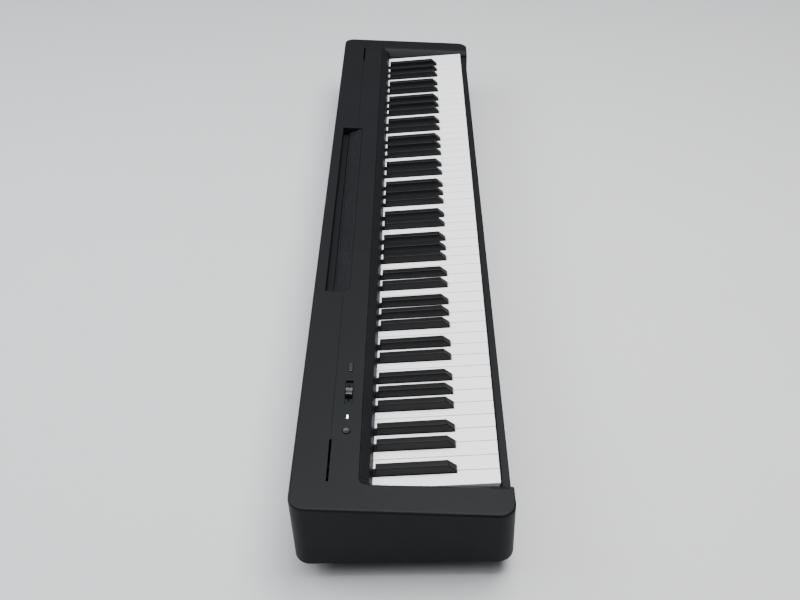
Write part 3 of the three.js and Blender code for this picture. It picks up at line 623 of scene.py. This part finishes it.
def panel_tools():
    """Cutters for the slots, the seam between them and the controls."""
    tools = []
    slot_size = (REST_SLOT_OUTER - REST_SLOT_INNER, REST_SLOT_WIDTH)
    seam_start = GRILLE_HALF + 11 * MM
    seam_end = REST_SLOT_INNER - 1.5 * MM
    half_seam = (seam_end - seam_start) / 2
    groove = [(-0.25 * MM, -0.7 * MM), (0.25 * MM, -0.7 * MM), (0.5 * MM, 0.3 * MM), (-0.5 * MM, 0.3 * MM)]
    for side in (-1, 1):
        slot = rectangle_hole(slot_size, 0, 1.0 * MM, 8 * MM, 0.35 * MM)
        tools.append(moved(slot, square_to_top(side * REST_SLOT_MIDDLE, REST_SLOT_Y)))
        seam = along_x(groove, -half_seam, half_seam)
        tools.append(moved(seam, square_to_top(side * (seam_start + seam_end) / 2, REST_SLOT_Y)))
    pocket = rectangle_hole(VOLUME_SIZE, 0, 1.6 * MM, VOLUME_DEPTH, 0.5 * MM)
    slit = prism(centred_rectangle(*VOLUME_SLIT, 0.6 * MM), -12 * MM, 1 * MM)
    button = rectangle_hole(FUNCTION_SIZE, 0.8 * MM, 1.2 * MM, 9 * MM, 0.3 * MM)
    lamp = rectangle_hole(LAMP_SIZE, 0.3 * MM, 0.8 * MM, 9 * MM, 0.2 * MM)
    power = hole_tool(lambda grow: circle(POWER_RADIUS + 0.5 * MM + grow), 9 * MM, 0.6 * MM)
    places = ((pocket, VOLUME_X), (slit, VOLUME_X), (button, FUNCTION_X), (lamp, LAMP_X), (power, POWER_X))
    tools += [moved(tool, square_to_top(x, CONTROLS_Y)) for tool, x in places]
    return tools


def rear_tools():
    """Cutters for the socket holes in the rear wall."""
    turn = Matrix.Rotation(math.radians(-90), 4, "X")
    tools = []
    for x in SOCKET_X.values():
        hole = hole_tool(lambda grow: circle(SOCKET_HOLE_RADIUS + grow, 32), 10 * MM, 0.5 * MM)
        tools.append(moved(hole, Matrix.Translation((x, REAR_Y, SOCKET_Z)) @ turn))
    return tools


def upper_case():
    outside = case_outside()
    lip_low, lip_high = (LIP_LEFT, REAR_Y - 6 * MM, LIP_LOW), (LIP_RIGHT, REAR_Y + LIP_PROUD, LIP_HIGH)
    lip = rounded_box(lip_low, lip_high, 1.1 * MM)
    shell = boolean(boolean(outside, [lip], "UNION"), [case_hollow(), *key_spaces()])
    seam_x = (GRILLE_HALF + REST_SLOT_INNER) / 2
    hole_xs = [-REST_SLOT_MIDDLE, -seam_x, POWER_X, LAMP_X, VOLUME_X, FUNCTION_X, 0, seam_x, REST_SLOT_MIDDLE,
               *SOCKET_X.values()]
    shell = sliced(shell, hole_xs, [CONTROLS_Y, REST_SLOT_Y], [SOCKET_Z])
    cut = boolean(shell, recess_tools() + panel_tools() + rear_tools())
    piece = finish_piece("upper_case_shell", cut, CASE_PLASTIC, "case", 32)
    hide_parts("upper_case")


# ---------------------------------------------------------------- lower case, keyslip, strip, feet


def pan_mesh():
    """The set-back pan under the case: its outside from the bottom up, then its inside down to the floor."""
    rim = WALL + GAP

    def outline(inset):
        return rounded_rectangle(-HALF_LENGTH + inset, HALF_LENGTH - inset, FRONT_Y + inset, REAR_Y - inset,
                                 max(CORNER_RADIUS - inset, 5 * MM), 6)

    outer = [(31.2, 18), (29.8, 17.2), (29.2, 15.6), (22.6, 0.8), (22, 0)]
    inner = [(25, -WALL / MM), (25.5, 0), (33, 14), (34, 15)]
    loops = [at_height(outline(inset * MM), EDGE_Z - drop * MM) for inset, drop in outer]
    loops += [at_height(outline(rim + 0.4 * MM), EDGE_Z), at_height(outline(rim), EDGE_Z + 0.4 * MM),
              at_height(outline(rim), EDGE_Z + WALL)]
    loops += [at_height(outline(inset * MM), EDGE_Z - drop * MM) for inset, drop in inner]
    return to_mesh(loft(loops), "pan")


def screw(name, x, y, z):
    """A countersunk cross-head screw that faces down."""
    head = 3.4 * MM
    profile = [(0, 0.9 * MM), (head * 0.6, 0.9 * MM), (head, 0.35 * MM), (head, 0), (0, 0)]
    disc = to_mesh(turned(profile, 28, closed=False), name)
    cross = []
    for turn in (0, 90):
        blade = box_mesh((-0.45 * MM, -1.7 * MM, 0.35 * MM), (0.45 * MM, 1.7 * MM, 2 * MM))
        cross.append(moved(blade, Matrix.Rotation(math.radians(turn + 20), 4, "Z")))
    head_mesh = boolean(disc, cross)
    place = Matrix.Translation((x, y, z)) @ Matrix.Rotation(math.pi, 4, "X")
    finish_piece(name, moved(head_mesh, place), STEEL, "case")


def underside():
    """The pan with its screws, each in a round recess."""
    screw_places = [(x, y) for x in SCREW_XS for y in SCREW_YS]
    recesses = []
    for x, y in screw_places:
        recess = hole_tool(lambda grow: circle(5 * MM + grow, 28), 1.8 * MM, 0.4 * MM)
        place = Matrix.Translation((x, y, PAN_LOW.z)) @ Matrix.Rotation(math.pi, 4, "X")
        recesses.append(moved(recess, place))
    pan = boolean(sliced(pan_mesh(), SCREW_XS, SCREW_YS), recesses)
    piece = finish_piece("lower_case_pan", pan, UNDER_PLASTIC, "case", 32)
    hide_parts("lower_case")
    for number, (x, y) in enumerate(screw_places, 1):
        screw(f"pan_screw_{number:02d}", x, y, PAN_LOW.z + 1.75 * MM)


def rounded_outline(points, radius, segments=4):
    """A closed polygon with each corner replaced by a short arc."""
    result = []
    count = len(points)
    for i in range(count):
        before, here, after = (Vector(points[(i + k) % count]) for k in (-1, 0, 1))
        back, ahead = before - here, after - here
        reach = min(radius, back.length * 0.45, ahead.length * 0.45)
        start = here + back.normalized() * reach
        end = here + ahead.normalized() * reach
        for k in range(segments + 1):
            t = k / segments
            result.append(tuple((1 - t) ** 2 * start + 2 * t * (1 - t) * here + t ** 2 * end))
    return result


def keyslip():
    """The rail in front of the keys: a thin skin with a step at the rear of its top."""
    front, back = KEYSLIP_LOW.y, KEYSLIP_HIGH.y
    low, high = KEYSLIP_LOW.z, KEYSLIP_HIGH.z
    skin = 2.5 * MM
    inside, step = front + skin, high - 14 * MM
    outline = rounded_outline([
        (front, low), (back, low), (back, low + skin), (inside, low + skin), (inside, high - skin),
        (back - skin, high - skin), (back - skin, step), (back, step), (back, high), (front, high)], 1.6 * MM)
    mesh = along_x(outline, KEYSLIP_LOW.x, KEYSLIP_HIGH.x, "keyslip")
    piece = finish_piece("keyslip_rail", mesh, CASE_PLASTIC, "case", 40)
    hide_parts("keyslip")


def fallboard_strip():
    """The dark bent strip between the panel and the keys, in the case's black plastic darkened as painted
    shade.
    """
    top_y, top = PANEL_FRONT_Y - 0.15 * MM, top_z(PANEL_FRONT_Y) - 0.9 * MM
    outline = rounded_outline([
        (STRIP_FOOT_Y, STRIP_FOOT_Z), (STRIP_FOOT_Y + 2.2 * MM, STRIP_FOOT_Z),
        (STRIP_BEND_Y + 2.4 * MM, STRIP_BEND_Z - 1.4 * MM), (top_y, top - 3 * MM), (top_y, top),
        (STRIP_BEND_Y, STRIP_BEND_Z), (STRIP_FOOT_Y, STRIP_FOOT_Z + 1.4 * MM)], 0.8 * MM, 4)
    end = BAY_HALF - 3.4 * MM
    piece = finish_piece("fallboard_strip_rail", along_x(outline, -end, end), STRIP_PLASTIC_PAINTED_SHADE, "case", 40)
    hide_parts("fallboard_strip")


def feet():
    for corner in ("front_left", "front_right", "rear_left", "rear_right"):
        node = f"foot_{corner}"
        low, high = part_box(node)
        middle = (low + high) / 2
        outer, tall = (high.x - low.x) / 2, high.z - low.z
        profile = [(0, 0.5 * MM), (6 * MM, 0.5 * MM), (6.6 * MM, 0), (9.2 * MM, 0), (9.9 * MM, 0.3 * MM),
                   (10.6 * MM, 1.2 * MM), (outer - 0.5 * MM, 2.4 * MM), (outer, 3.2 * MM),
                   (outer, tall - 0.5 * MM), (outer - 0.5 * MM, tall), (0, tall)]
        mesh = to_mesh(turned(profile, 48, closed=False), node)
        place = Matrix.Translation((middle.x, middle.y, low.z))
        piece = finish_piece(f"{node}_pad", moved(mesh, place), RUBBER, "case")
        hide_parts(node)


# ---------------------------------------------------------------- grille and speakers


def perforated_sheet(length, width, pitch, hole):
    """A flat sheet without thickness, with eight-sided holes of radius `hole` in staggered rows."""
    columns = round(length / pitch)
    row_step = pitch * math.sqrt(3) / 2
    rows = int(width / row_step)
    step_x = length / columns
    step_y = width / rows
    bm = bmesh.new()
    cache = {}

    def vert(x, y):
        key = (round(x * 1e7), round(y * 1e7))
        if key not in cache:
            cache[key] = bm.verts.new((x, y, 0))
        return cache[key]

    for row in range(rows):
        shift = step_x / 8 if row % 2 else -step_x / 8
        y0, y1 = row * step_y, (row + 1) * step_y
        for column in range(columns):
            x0, x1 = column * step_x, (column + 1) * step_x
            middle_x, cy = (x0 + x1) / 2, (y0 + y1) / 2
            cx = middle_x + shift
            cell = [(x0, y0), (middle_x, y0), (x1, y0), (x1, cy),
                    (x1, y1), (middle_x, y1), (x0, y1), (x0, cy)]
            ring = [(cx + hole * math.cos(math.radians(a)), cy + hole * math.sin(math.radians(a)))
                    for a in (225, 270, 315, 0, 45, 90, 135, 180)]
            for i in range(len(ring)):
                j = (i + 1) % len(ring)
                bm.faces.new((vert(*cell[i]), vert(*cell[j]), vert(*ring[j]), vert(*ring[i])))
    return bm


def speaker_grille():
    """Perforated sheet that slopes down from the panel, with a plain edge that turns into the slot behind."""
    front = GRILLE_FRONT_Y + GAP
    rear = TRENCH_FRONT_Y - GAP
    high, low = top_z(front) - 0.4 * MM, top_z(rear) - GRILLE_DROP
    margin = 1.6 * MM
    direction = Vector((0, rear - front, low - high))
    width = direction.length - 2 * margin
    length = 2 * (GRILLE_HALF - GAP) - 2 * margin
    bm = perforated_sheet(length, width, GRILLE_PITCH, GRILLE_HOLE_RADIUS)
    border = {}
    for edge in bm.edges:
        if edge.is_boundary:
            for vertex in edge.verts:
                x, y = vertex.co.x, vertex.co.y
                if min(x, length - x, y, width - y) < 1e-6:
                    border[vertex] = (x, y)
    rim = {}
    for vertex, (x, y) in border.items():
        out_x = -margin if x < 1e-6 else (length + margin if x > length - 1e-6 else x)
        out_y = -margin if y < 1e-6 else (width + margin if y > width - 1e-6 else y)
        rim[vertex] = bm.verts.new((out_x, out_y, 0))
    for edge in [e for e in bm.edges if e.is_boundary and all(v in rim for v in e.verts)]:
        a, b = edge.verts
        if rim[a] is not rim[b]:
            bm.faces.new((a, b, rim[b], rim[a]))
    bmesh.ops.recalc_face_normals(bm, faces=bm.faces)
    if sum(face.normal.z for face in bm.faces) < 0:
        bmesh.ops.reverse_faces(bm, faces=bm.faces)
    along = direction.normalized()
    matrix = Matrix((
        (1, 0, 0, -length / 2), (0, along.y, -along.z, front + along.y * margin),
        (0, along.z, along.y, high + along.z * margin), (0, 0, 0, 1)))
    bmesh.ops.transform(bm, matrix=matrix, verts=bm.verts)
    mesh = bpy.data.meshes.new("grille")
    bm.to_mesh(mesh)
    bm.free()
    piece = finish_piece("speaker_grille_sheet", mesh, GRILLE_METAL, "case", 40, rounded=False)
    thick = piece.modifiers.new("sheet", "SOLIDIFY")
    thick.thickness = GRILLE_SHEET
    thick.offset = -1
    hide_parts("speaker_grille")
    end_x = GRILLE_HALF - GAP
    fold = rounded_box((-end_x, rear - 1.0 * MM, low - 4 * MM), (end_x, rear, low - 0.9 * MM), 0.25 * MM, 2)
    piece = finish_piece("speaker_grille_fold", fold, GRILLE_METAL, "case")


# ---------------------------------------------------------------- controls


def power_button():
    """A round cap with a dished top, held under the panel by a flange."""
    r = POWER_RADIUS
    profile = [(0, 0.62 * MM), (r * 0.55, 0.68 * MM), (r - 0.9 * MM, 0.95 * MM), (r - 0.35 * MM, 0.92 * MM),
               (r - 0.08 * MM, 0.65 * MM), (r, 0.2 * MM), (r, FLANGE_TOP), (r + 1.8 * MM, FLANGE_TOP),
               (r + 1.8 * MM, FLANGE_LOW), (0, FLANGE_LOW)]
    mesh = moved(to_mesh(turned(profile, 56, closed=False), "power"), square_to_top(POWER_X, CONTROLS_Y))
    piece = finish_piece("power_button_cap", mesh, CONTROL_PLASTIC, "power_button")
    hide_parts("power_button")


def function_button():
    """A rectangular cap with rounded edges, held under the panel by a flange."""
    rings = [(1.2 * MM, FLANGE_LOW), (1.2 * MM, FLANGE_TOP), (0, FLANGE_TOP), (0, 0.35 * MM),
             (-0.1 * MM, 0.65 * MM), (-0.35 * MM, 0.85 * MM), (-0.8 * MM, 0.9 * MM)]
    loops = [at_height(centred_rectangle(*FUNCTION_SIZE, 1.0 * MM, grow), z) for grow, z in rings]
    mesh = moved(to_mesh(loft(loops), "function"), square_to_top(FUNCTION_X, CONTROLS_Y))
    piece = finish_piece("function_button_cap", mesh, CONTROL_PLASTIC, "function_button")
    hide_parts("function_button")


def power_lamp():
    rings = [(0, -5 * MM), (0, -0.1 * MM), (-0.2 * MM, 0.1 * MM)]
    loops = [at_height(centred_rectangle(*LAMP_SIZE, 0.7 * MM, grow), z) for grow, z in rings]
    mesh = moved(to_mesh(loft(loops), "lamp"), square_to_top(LAMP_X, CONTROLS_Y))
    piece = finish_piece("power_lamp_lens", mesh, LAMP, "case")
    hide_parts("power_lamp")


def volume_knob():
    """A slider knob that is hollowed along its top, with grip ribs across it."""
    half, side = KNOB_LENGTH / 2, VOLUME_SIZE[1] / 2 - 0.4 * MM
    reach = half - KNOB_SHOULDER
    floor = -VOLUME_DEPTH + GAP

    def hollow(x):
        return KNOB_HEIGHT - KNOB_HOLLOW * math.cos(math.pi * x / (2 * reach))

    shoulder = [(half, floor), (half, 0.6 * MM), (half - 1.6 * MM, 3.2 * MM), (reach, KNOB_HEIGHT)]
    steps = 9
    dish = [reach * (1 - 2 * k / steps) for k in range(1, steps)]
    crown = [(-half, floor), *shoulder, *((x, hollow(x)) for x in dish)]
    crown += [(-x, z) for x, z in reversed(shoulder[1:])]
    loops = []
    for y, shrink in ((-side, 0.5 * MM), (-side + 0.5 * MM, 0), (side - 0.5 * MM, 0), (side, 0.5 * MM)):
        loops.append([(x * (1 - shrink / half), y, z - shrink if z > 0.5 * MM else z) for x, z in crown])
    body = to_mesh(loft(loops), "knob")
    stem = box_mesh((-2 * MM, -0.5 * MM, -7.5 * MM), (2 * MM, 0.5 * MM, floor + 1 * MM))
    carriage = box_mesh((-5 * MM, -3 * MM, -8.1 * MM), (5 * MM, 3 * MM, -6.3 * MM))
    whole = boolean(body, [stem, carriage], "UNION")
    mesh = moved(whole, square_to_top(VOLUME_X, CONTROLS_Y))
    piece = finish_piece("volume_knob_cap", mesh, CONTROL_PLASTIC, "volume_knob")
    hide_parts("volume_knob")
    rib_end = side - 0.9 * MM
    for number in range(5):
        x = (number - 2) * 1.5 * MM
        low = (x - 0.25 * MM, -rib_end, hollow(x) - 0.3 * MM)
        high = (x + 0.25 * MM, rib_end, hollow(x) + 0.35 * MM)
        rib = moved(rounded_box(low, high, 0.18 * MM, 2), square_to_top(VOLUME_X, CONTROLS_Y))
        piece = finish_piece(f"volume_knob_rib_{number + 1}", rib, CONTROL_PLASTIC, "volume_knob")


# ---------------------------------------------------------------- keys

# Within an octave from its C: the sharps' centre lines, and the sharps to the left and right of each natural.
SHARP_CENTRES = [20 * MM, 48 * MM, 89.5 * MM, 116.3 * MM, 143.3 * MM]
SHARPS_BESIDE = [(None, 0), (0, 1), (1, None), (None, 2), (2, 3), (3, 4), (4, None)]
NATURAL_LETTERS = "CDEFGAB"
SHARP_LETTERS = "CDFGA"


def key_top(y):
    """Height of a white key's top, which falls towards the rear while the key is at rest."""
    return KEY_TOP_Z - KEY_TOP_FALL * (y - KEY_FRONT_Y)


def key_under(y):
    """Height of a white key's underside behind its lip."""
    return KEY_UNDER_Z - KEY_UNDER_FALL * (y - KEY_FRONT_Y - KEY_LIP_DEPTH)


def natural_span(natural):
    """Left and right side of a white key's front part."""
    return natural * WHITE_PITCH + WHITE_GAP / 2, (natural + 1) * WHITE_PITCH - WHITE_GAP / 2


def tail_span(natural, sharps):
    """Left and right side of a white key between the sharps."""
    half = SHARP_BASE_WIDTH / 2 + SHARP_CLEARANCE
    before, after = SHARPS_BESIDE[natural]
    left, right = natural_span(natural)
    if before in sharps:
        left = SHARP_CENTRES[before] + half
    if after in sharps:
        right = SHARP_CENTRES[after] - half
    return left, right


def natural_plan(natural, sharps):
    """Plan of a white key: full width in front, narrower between the sharps."""
    left, right = natural_span(natural)
    tail_left, tail_right = tail_span(natural, sharps)
    notch = SHARP_FRONT_Y - SHARP_CLEARANCE
    rear = HINGE_Y + 3 * MM
    plan = [(left, KEY_FRONT_Y), (right, KEY_FRONT_Y)]
    if tail_right < right - 1e-6:
        plan += [(right, notch), (tail_right, notch)]
    plan += [(tail_right, rear), (tail_left, rear)]
    if tail_left > left + 1e-6:
        plan += [(tail_left, notch), (left, notch)]
    return plan


def natural_key(natural, sharps, start_x):
    """A white key: top skin with rounded edges, front face under a slight overhang, and the body below."""
    plan = [(start_x + x, y) for x, y in natural_plan(natural, sharps)]
    xs = [x for x, _ in plan]
    rear, lip_rear, thin = HINGE_Y + 3 * MM, KEY_FRONT_Y + KEY_LIP_DEPTH, HINGE_Y - 10.5 * MM
    face = KEY_FRONT_Y + KEY_OVERHANG
    side = [(face, KEY_LIP_Z), (lip_rear, KEY_LIP_Z), (lip_rear, KEY_UNDER_Z), (thin, key_under(thin)),
            (thin, HINGE_Z), (rear, HINGE_Z), (rear, key_top(rear)), (KEY_FRONT_Y, KEY_TOP_Z),
            (KEY_FRONT_Y, KEY_TOP_Z - KEY_SKIN), (face, KEY_TOP_Z - KEY_SKIN)]
    whole = boolean(along_x(side, min(xs) - MM, max(xs) + MM), [prism(plan, 80 * MM, 115 * MM)], "INTERSECT")
    return bevelled(whole, KEY_ROUND, 3, 40)


def sharp_key(sharp, start_x):
    """A black key: a tapered cap with rounded edges and a sloping front, on a narrower body."""
    centre = start_x + SHARP_CENTRES[sharp]

    def ring(half, places):
        (front, front_z), (rear, rear_z) = places
        return [(centre - half, front, front_z), (centre + half, front, front_z),
                (centre + half, rear, rear_z), (centre - half, rear, rear_z)]

    def above_white(rise):
        return [(y, key_top(y) + rise) for y in (SHARP_FRONT_Y, SHARP_REAR_Y)]

    base, crest = SHARP_BASE_WIDTH / 2, SHARP_TOP_WIDTH / 2
    loops = [ring(base, above_white(-4 * MM)), ring(base, above_white(0)),
             ring(base - 0.25 * MM, above_white(SHARP_FRONT_RISE)),
             ring(crest, [(SHARP_CREST_Y, SHARP_CREST_Z), (SHARP_REAR_Y, SHARP_REAR_Z)])]
    cap = bevelled(to_mesh(loft(loops), "cap"), SHARP_ROUND, 4, 25)
    half = SHARP_BODY_WIDTH / 2
    front, rear = SHARP_FRONT_Y + 2 * MM, HINGE_Y - 2 * MM
    side = [(front, key_under(front)), (rear, key_under(rear)), (rear, key_top(rear) + 0.5 * MM),
            (front, key_top(front) + 0.5 * MM)]
    body = bevelled(along_x(side, centre - half, centre + half), 0.4 * MM, 2, 40)
    return boolean(cap, [body], "UNION")


def key_group(group, start_x, octave, naturals, sharps):
    """The keys of one octave, each a piece of its own; `start_x` is where the octave's C begins."""
    for natural in naturals:
        name = f"key_{NATURAL_LETTERS[natural]}{octave}"
        piece = finish_piece(name, natural_key(natural, sharps, start_x), WHITE_KEY, f"{group}_naturals", 50)
        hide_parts(f"{group}_naturals")
    for sharp in sharps:
        name = f"key_{SHARP_LETTERS[sharp]}sharp{octave}"
        piece = finish_piece(name, sharp_key(sharp, start_x), BLACK_KEY, f"{group}_sharps", 50)
        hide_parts(f"{group}_sharps")


def keyboard():
    key_group("bass", FIRST_C_X - OCTAVE, 0, (5, 6), (4,))
    for octave in range(1, 8):
        key_group(f"octave_{octave}", FIRST_C_X + (octave - 1) * OCTAVE, octave, range(7), range(5))
    key_group("top", FIRST_C_X + 7 * OCTAVE, 8, (0,), ())


# ---------------------------------------------------------------- rear sockets


def sockets():
    """The jacks' nut rings, the pin of the power inlet and the tongue of the data port."""
    turn = Matrix.Rotation(math.radians(-90), 4, "X")
    ring = [(3.5 * MM, 0.2 * MM), (5.6 * MM, 0.2 * MM), (6.2 * MM, -0.3 * MM), (6.2 * MM, -1.2 * MM),
            (3.5 * MM, -1.2 * MM)]
    for name in ("headphone_jack", "pedal_jack"):
        place = Matrix.Translation((SOCKET_X[name], REAR_Y + 0.5 * MM, SOCKET_Z)) @ turn
        mesh = moved(to_mesh(turned(ring, 48), name), place)
        piece = finish_piece(f"{name}_ring", mesh, STEEL, "case")
    pin = [(0, 0.2 * MM), (0.7 * MM, 0.2 * MM), (1.05 * MM, -0.5 * MM), (1.05 * MM, -10 * MM), (0, -10 * MM)]
    place = Matrix.Translation((SOCKET_X["dc_jack"], REAR_Y - 1 * MM, SOCKET_Z)) @ turn
    mesh = moved(to_mesh(turned(pin, 24, closed=False), "pin"), place)
    piece = finish_piece("dc_jack_pin", mesh, STEEL, "case")
    x = SOCKET_X["usb_port"]
    low = (x - 2.8 * MM, REAR_Y - 12.4 * MM, SOCKET_Z - 1.6 * MM)
    high = (x + 2.8 * MM, REAR_Y - 3 * MM, SOCKET_Z + 1.6 * MM)
    piece = finish_piece("usb_port_tongue", rounded_box(low, high, 0.3 * MM, 2), SOCKET_PLASTIC, "case")


# ---------------------------------------------------------------- CAD nodes that stay

KEPT_NODES = {
    "key_frame": CHASSIS_PLASTIC, "hammer_shaft": STEEL, "key_bed_felt": FELT, "hammer_stop_felt": FELT,
    "contact_board": DARK_BOARD, "main_board": BOARD, "panel_board": BOARD, "speaker_left": SPEAKER_STEEL,
    "speaker_right": SPEAKER_STEEL, "usb_port": STEEL, "headphone_jack": SOCKET_PLASTIC,
    "pedal_jack": SOCKET_PLASTIC, "dc_jack": SOCKET_PLASTIC,
}


def dress_kept_nodes():
    """Gives the CAD nodes that no piece replaces their materials."""
    for name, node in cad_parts.items():
        material = KEPT_NODES.get(name)
        if name.endswith("_hammers"):
            material = HAMMER_PLASTIC
        if material is None:
            continue
        node.data.materials.clear()
        node.data.materials.append(material)
        for slot in node.material_slots:
            slot.material = material


# ---------------------------------------------------------------- stage, light and camera

FLOOR_HALF, FLOOR_COLOR = 30, (0.5, 0.505, 0.515)
SKY_COLOR, SKY_STRENGTH = (0.9, 0.93, 1.0), 0.2
OVERHEAD_ANGLE, OVERHEAD_POWER = 70, 2.6
CAMERA_PLACE = Vector((-1.3836, -0.0313, 1.0024))
CAMERA_TARGET = Vector((-0.2545, 0.0054, 0.1095))
CAMERA_ROLL = math.radians(-2.24)
LENS_MM = 43.48


def stage():
    floor_material, tree, shader = new_material("floor")
    vary_colour(tree, shader, FLOOR_COLOR, 0.015, 1.5)
    vary_roughness(tree, shader, 0.55, 0.65, 4)
    floor = box_mesh((-FLOOR_HALF, -FLOOR_HALF, -0.02), (FLOOR_HALF, FLOOR_HALF, 0), "floor")
    floor.materials.append(floor_material)
    ground = bpy.data.objects.new("floor", floor)
    bpy.context.scene.collection.objects.link(ground)


def area_light(name, place, target, size, power, color=(1, 1, 1)):
    """A softbox at `place` that faces `target`; sizes in metres, power in watts."""
    light = bpy.data.lights.new(name, "AREA")
    light.shape = "RECTANGLE"
    light.size, light.size_y = size
    light.energy = power
    light.color = color
    holder = bpy.data.objects.new(name, light)
    holder.location = place
    holder.rotation_mode = "QUATERNION"
    holder.rotation_quaternion = (Vector(target) - Vector(place)).to_track_quat("-Z", "Y")
    bpy.context.scene.collection.objects.link(holder)


def overhead_light():
    """A very broad light straight down, which keeps the floor pale all the way out."""
    light = bpy.data.lights.new("overhead", "SUN")
    light.angle = math.radians(OVERHEAD_ANGLE)
    light.energy = OVERHEAD_POWER
    holder = bpy.data.objects.new("overhead", light)
    holder.location = (0, 0, 4)
    bpy.context.scene.collection.objects.link(holder)


def lights():
    world = bpy.data.worlds.new("studio")
    bpy.context.scene.world = world
    world.use_nodes = True
    sky = world.node_tree.nodes["Background"]
    sky.inputs["Color"].default_value = (*SKY_COLOR, 1)
    sky.inputs["Strength"].default_value = SKY_STRENGTH
    overhead_light()
    area_light("softbox_over", (-0.1, -0.5, 2.0), (-0.1, 0, 0.1), (1.4, 1.2), 66)
    area_light("softbox_rear", (0.1, 1.7, 1.5), (0, 0, 0.1), (2.0, 1.0), 38, (0.94, 0.97, 1.0))


def camera():
    data = bpy.data.cameras.new("camera")
    data.lens = LENS_MM
    data.sensor_width = 36
    data.clip_start = 0.02
    data.clip_end = 60
    holder = bpy.data.objects.new("camera", data)
    holder.location = CAMERA_PLACE
    look = (CAMERA_TARGET - CAMERA_PLACE).to_track_quat("-Z", "Y").to_matrix()
    holder.rotation_mode = "QUATERNION"
    holder.rotation_quaternion = (look @ Matrix.Rotation(CAMERA_ROLL, 3, "Z")).to_quaternion()
    bpy.context.scene.collection.objects.link(holder)
    bpy.context.scene.camera = holder


camera()
stage()
lights()
upper_case()
underside()
keyslip()
fallboard_strip()
feet()
speaker_grille()
power_button()
function_button()
power_lamp()
volume_knob()
keyboard()
sockets()
dress_kept_nodes()
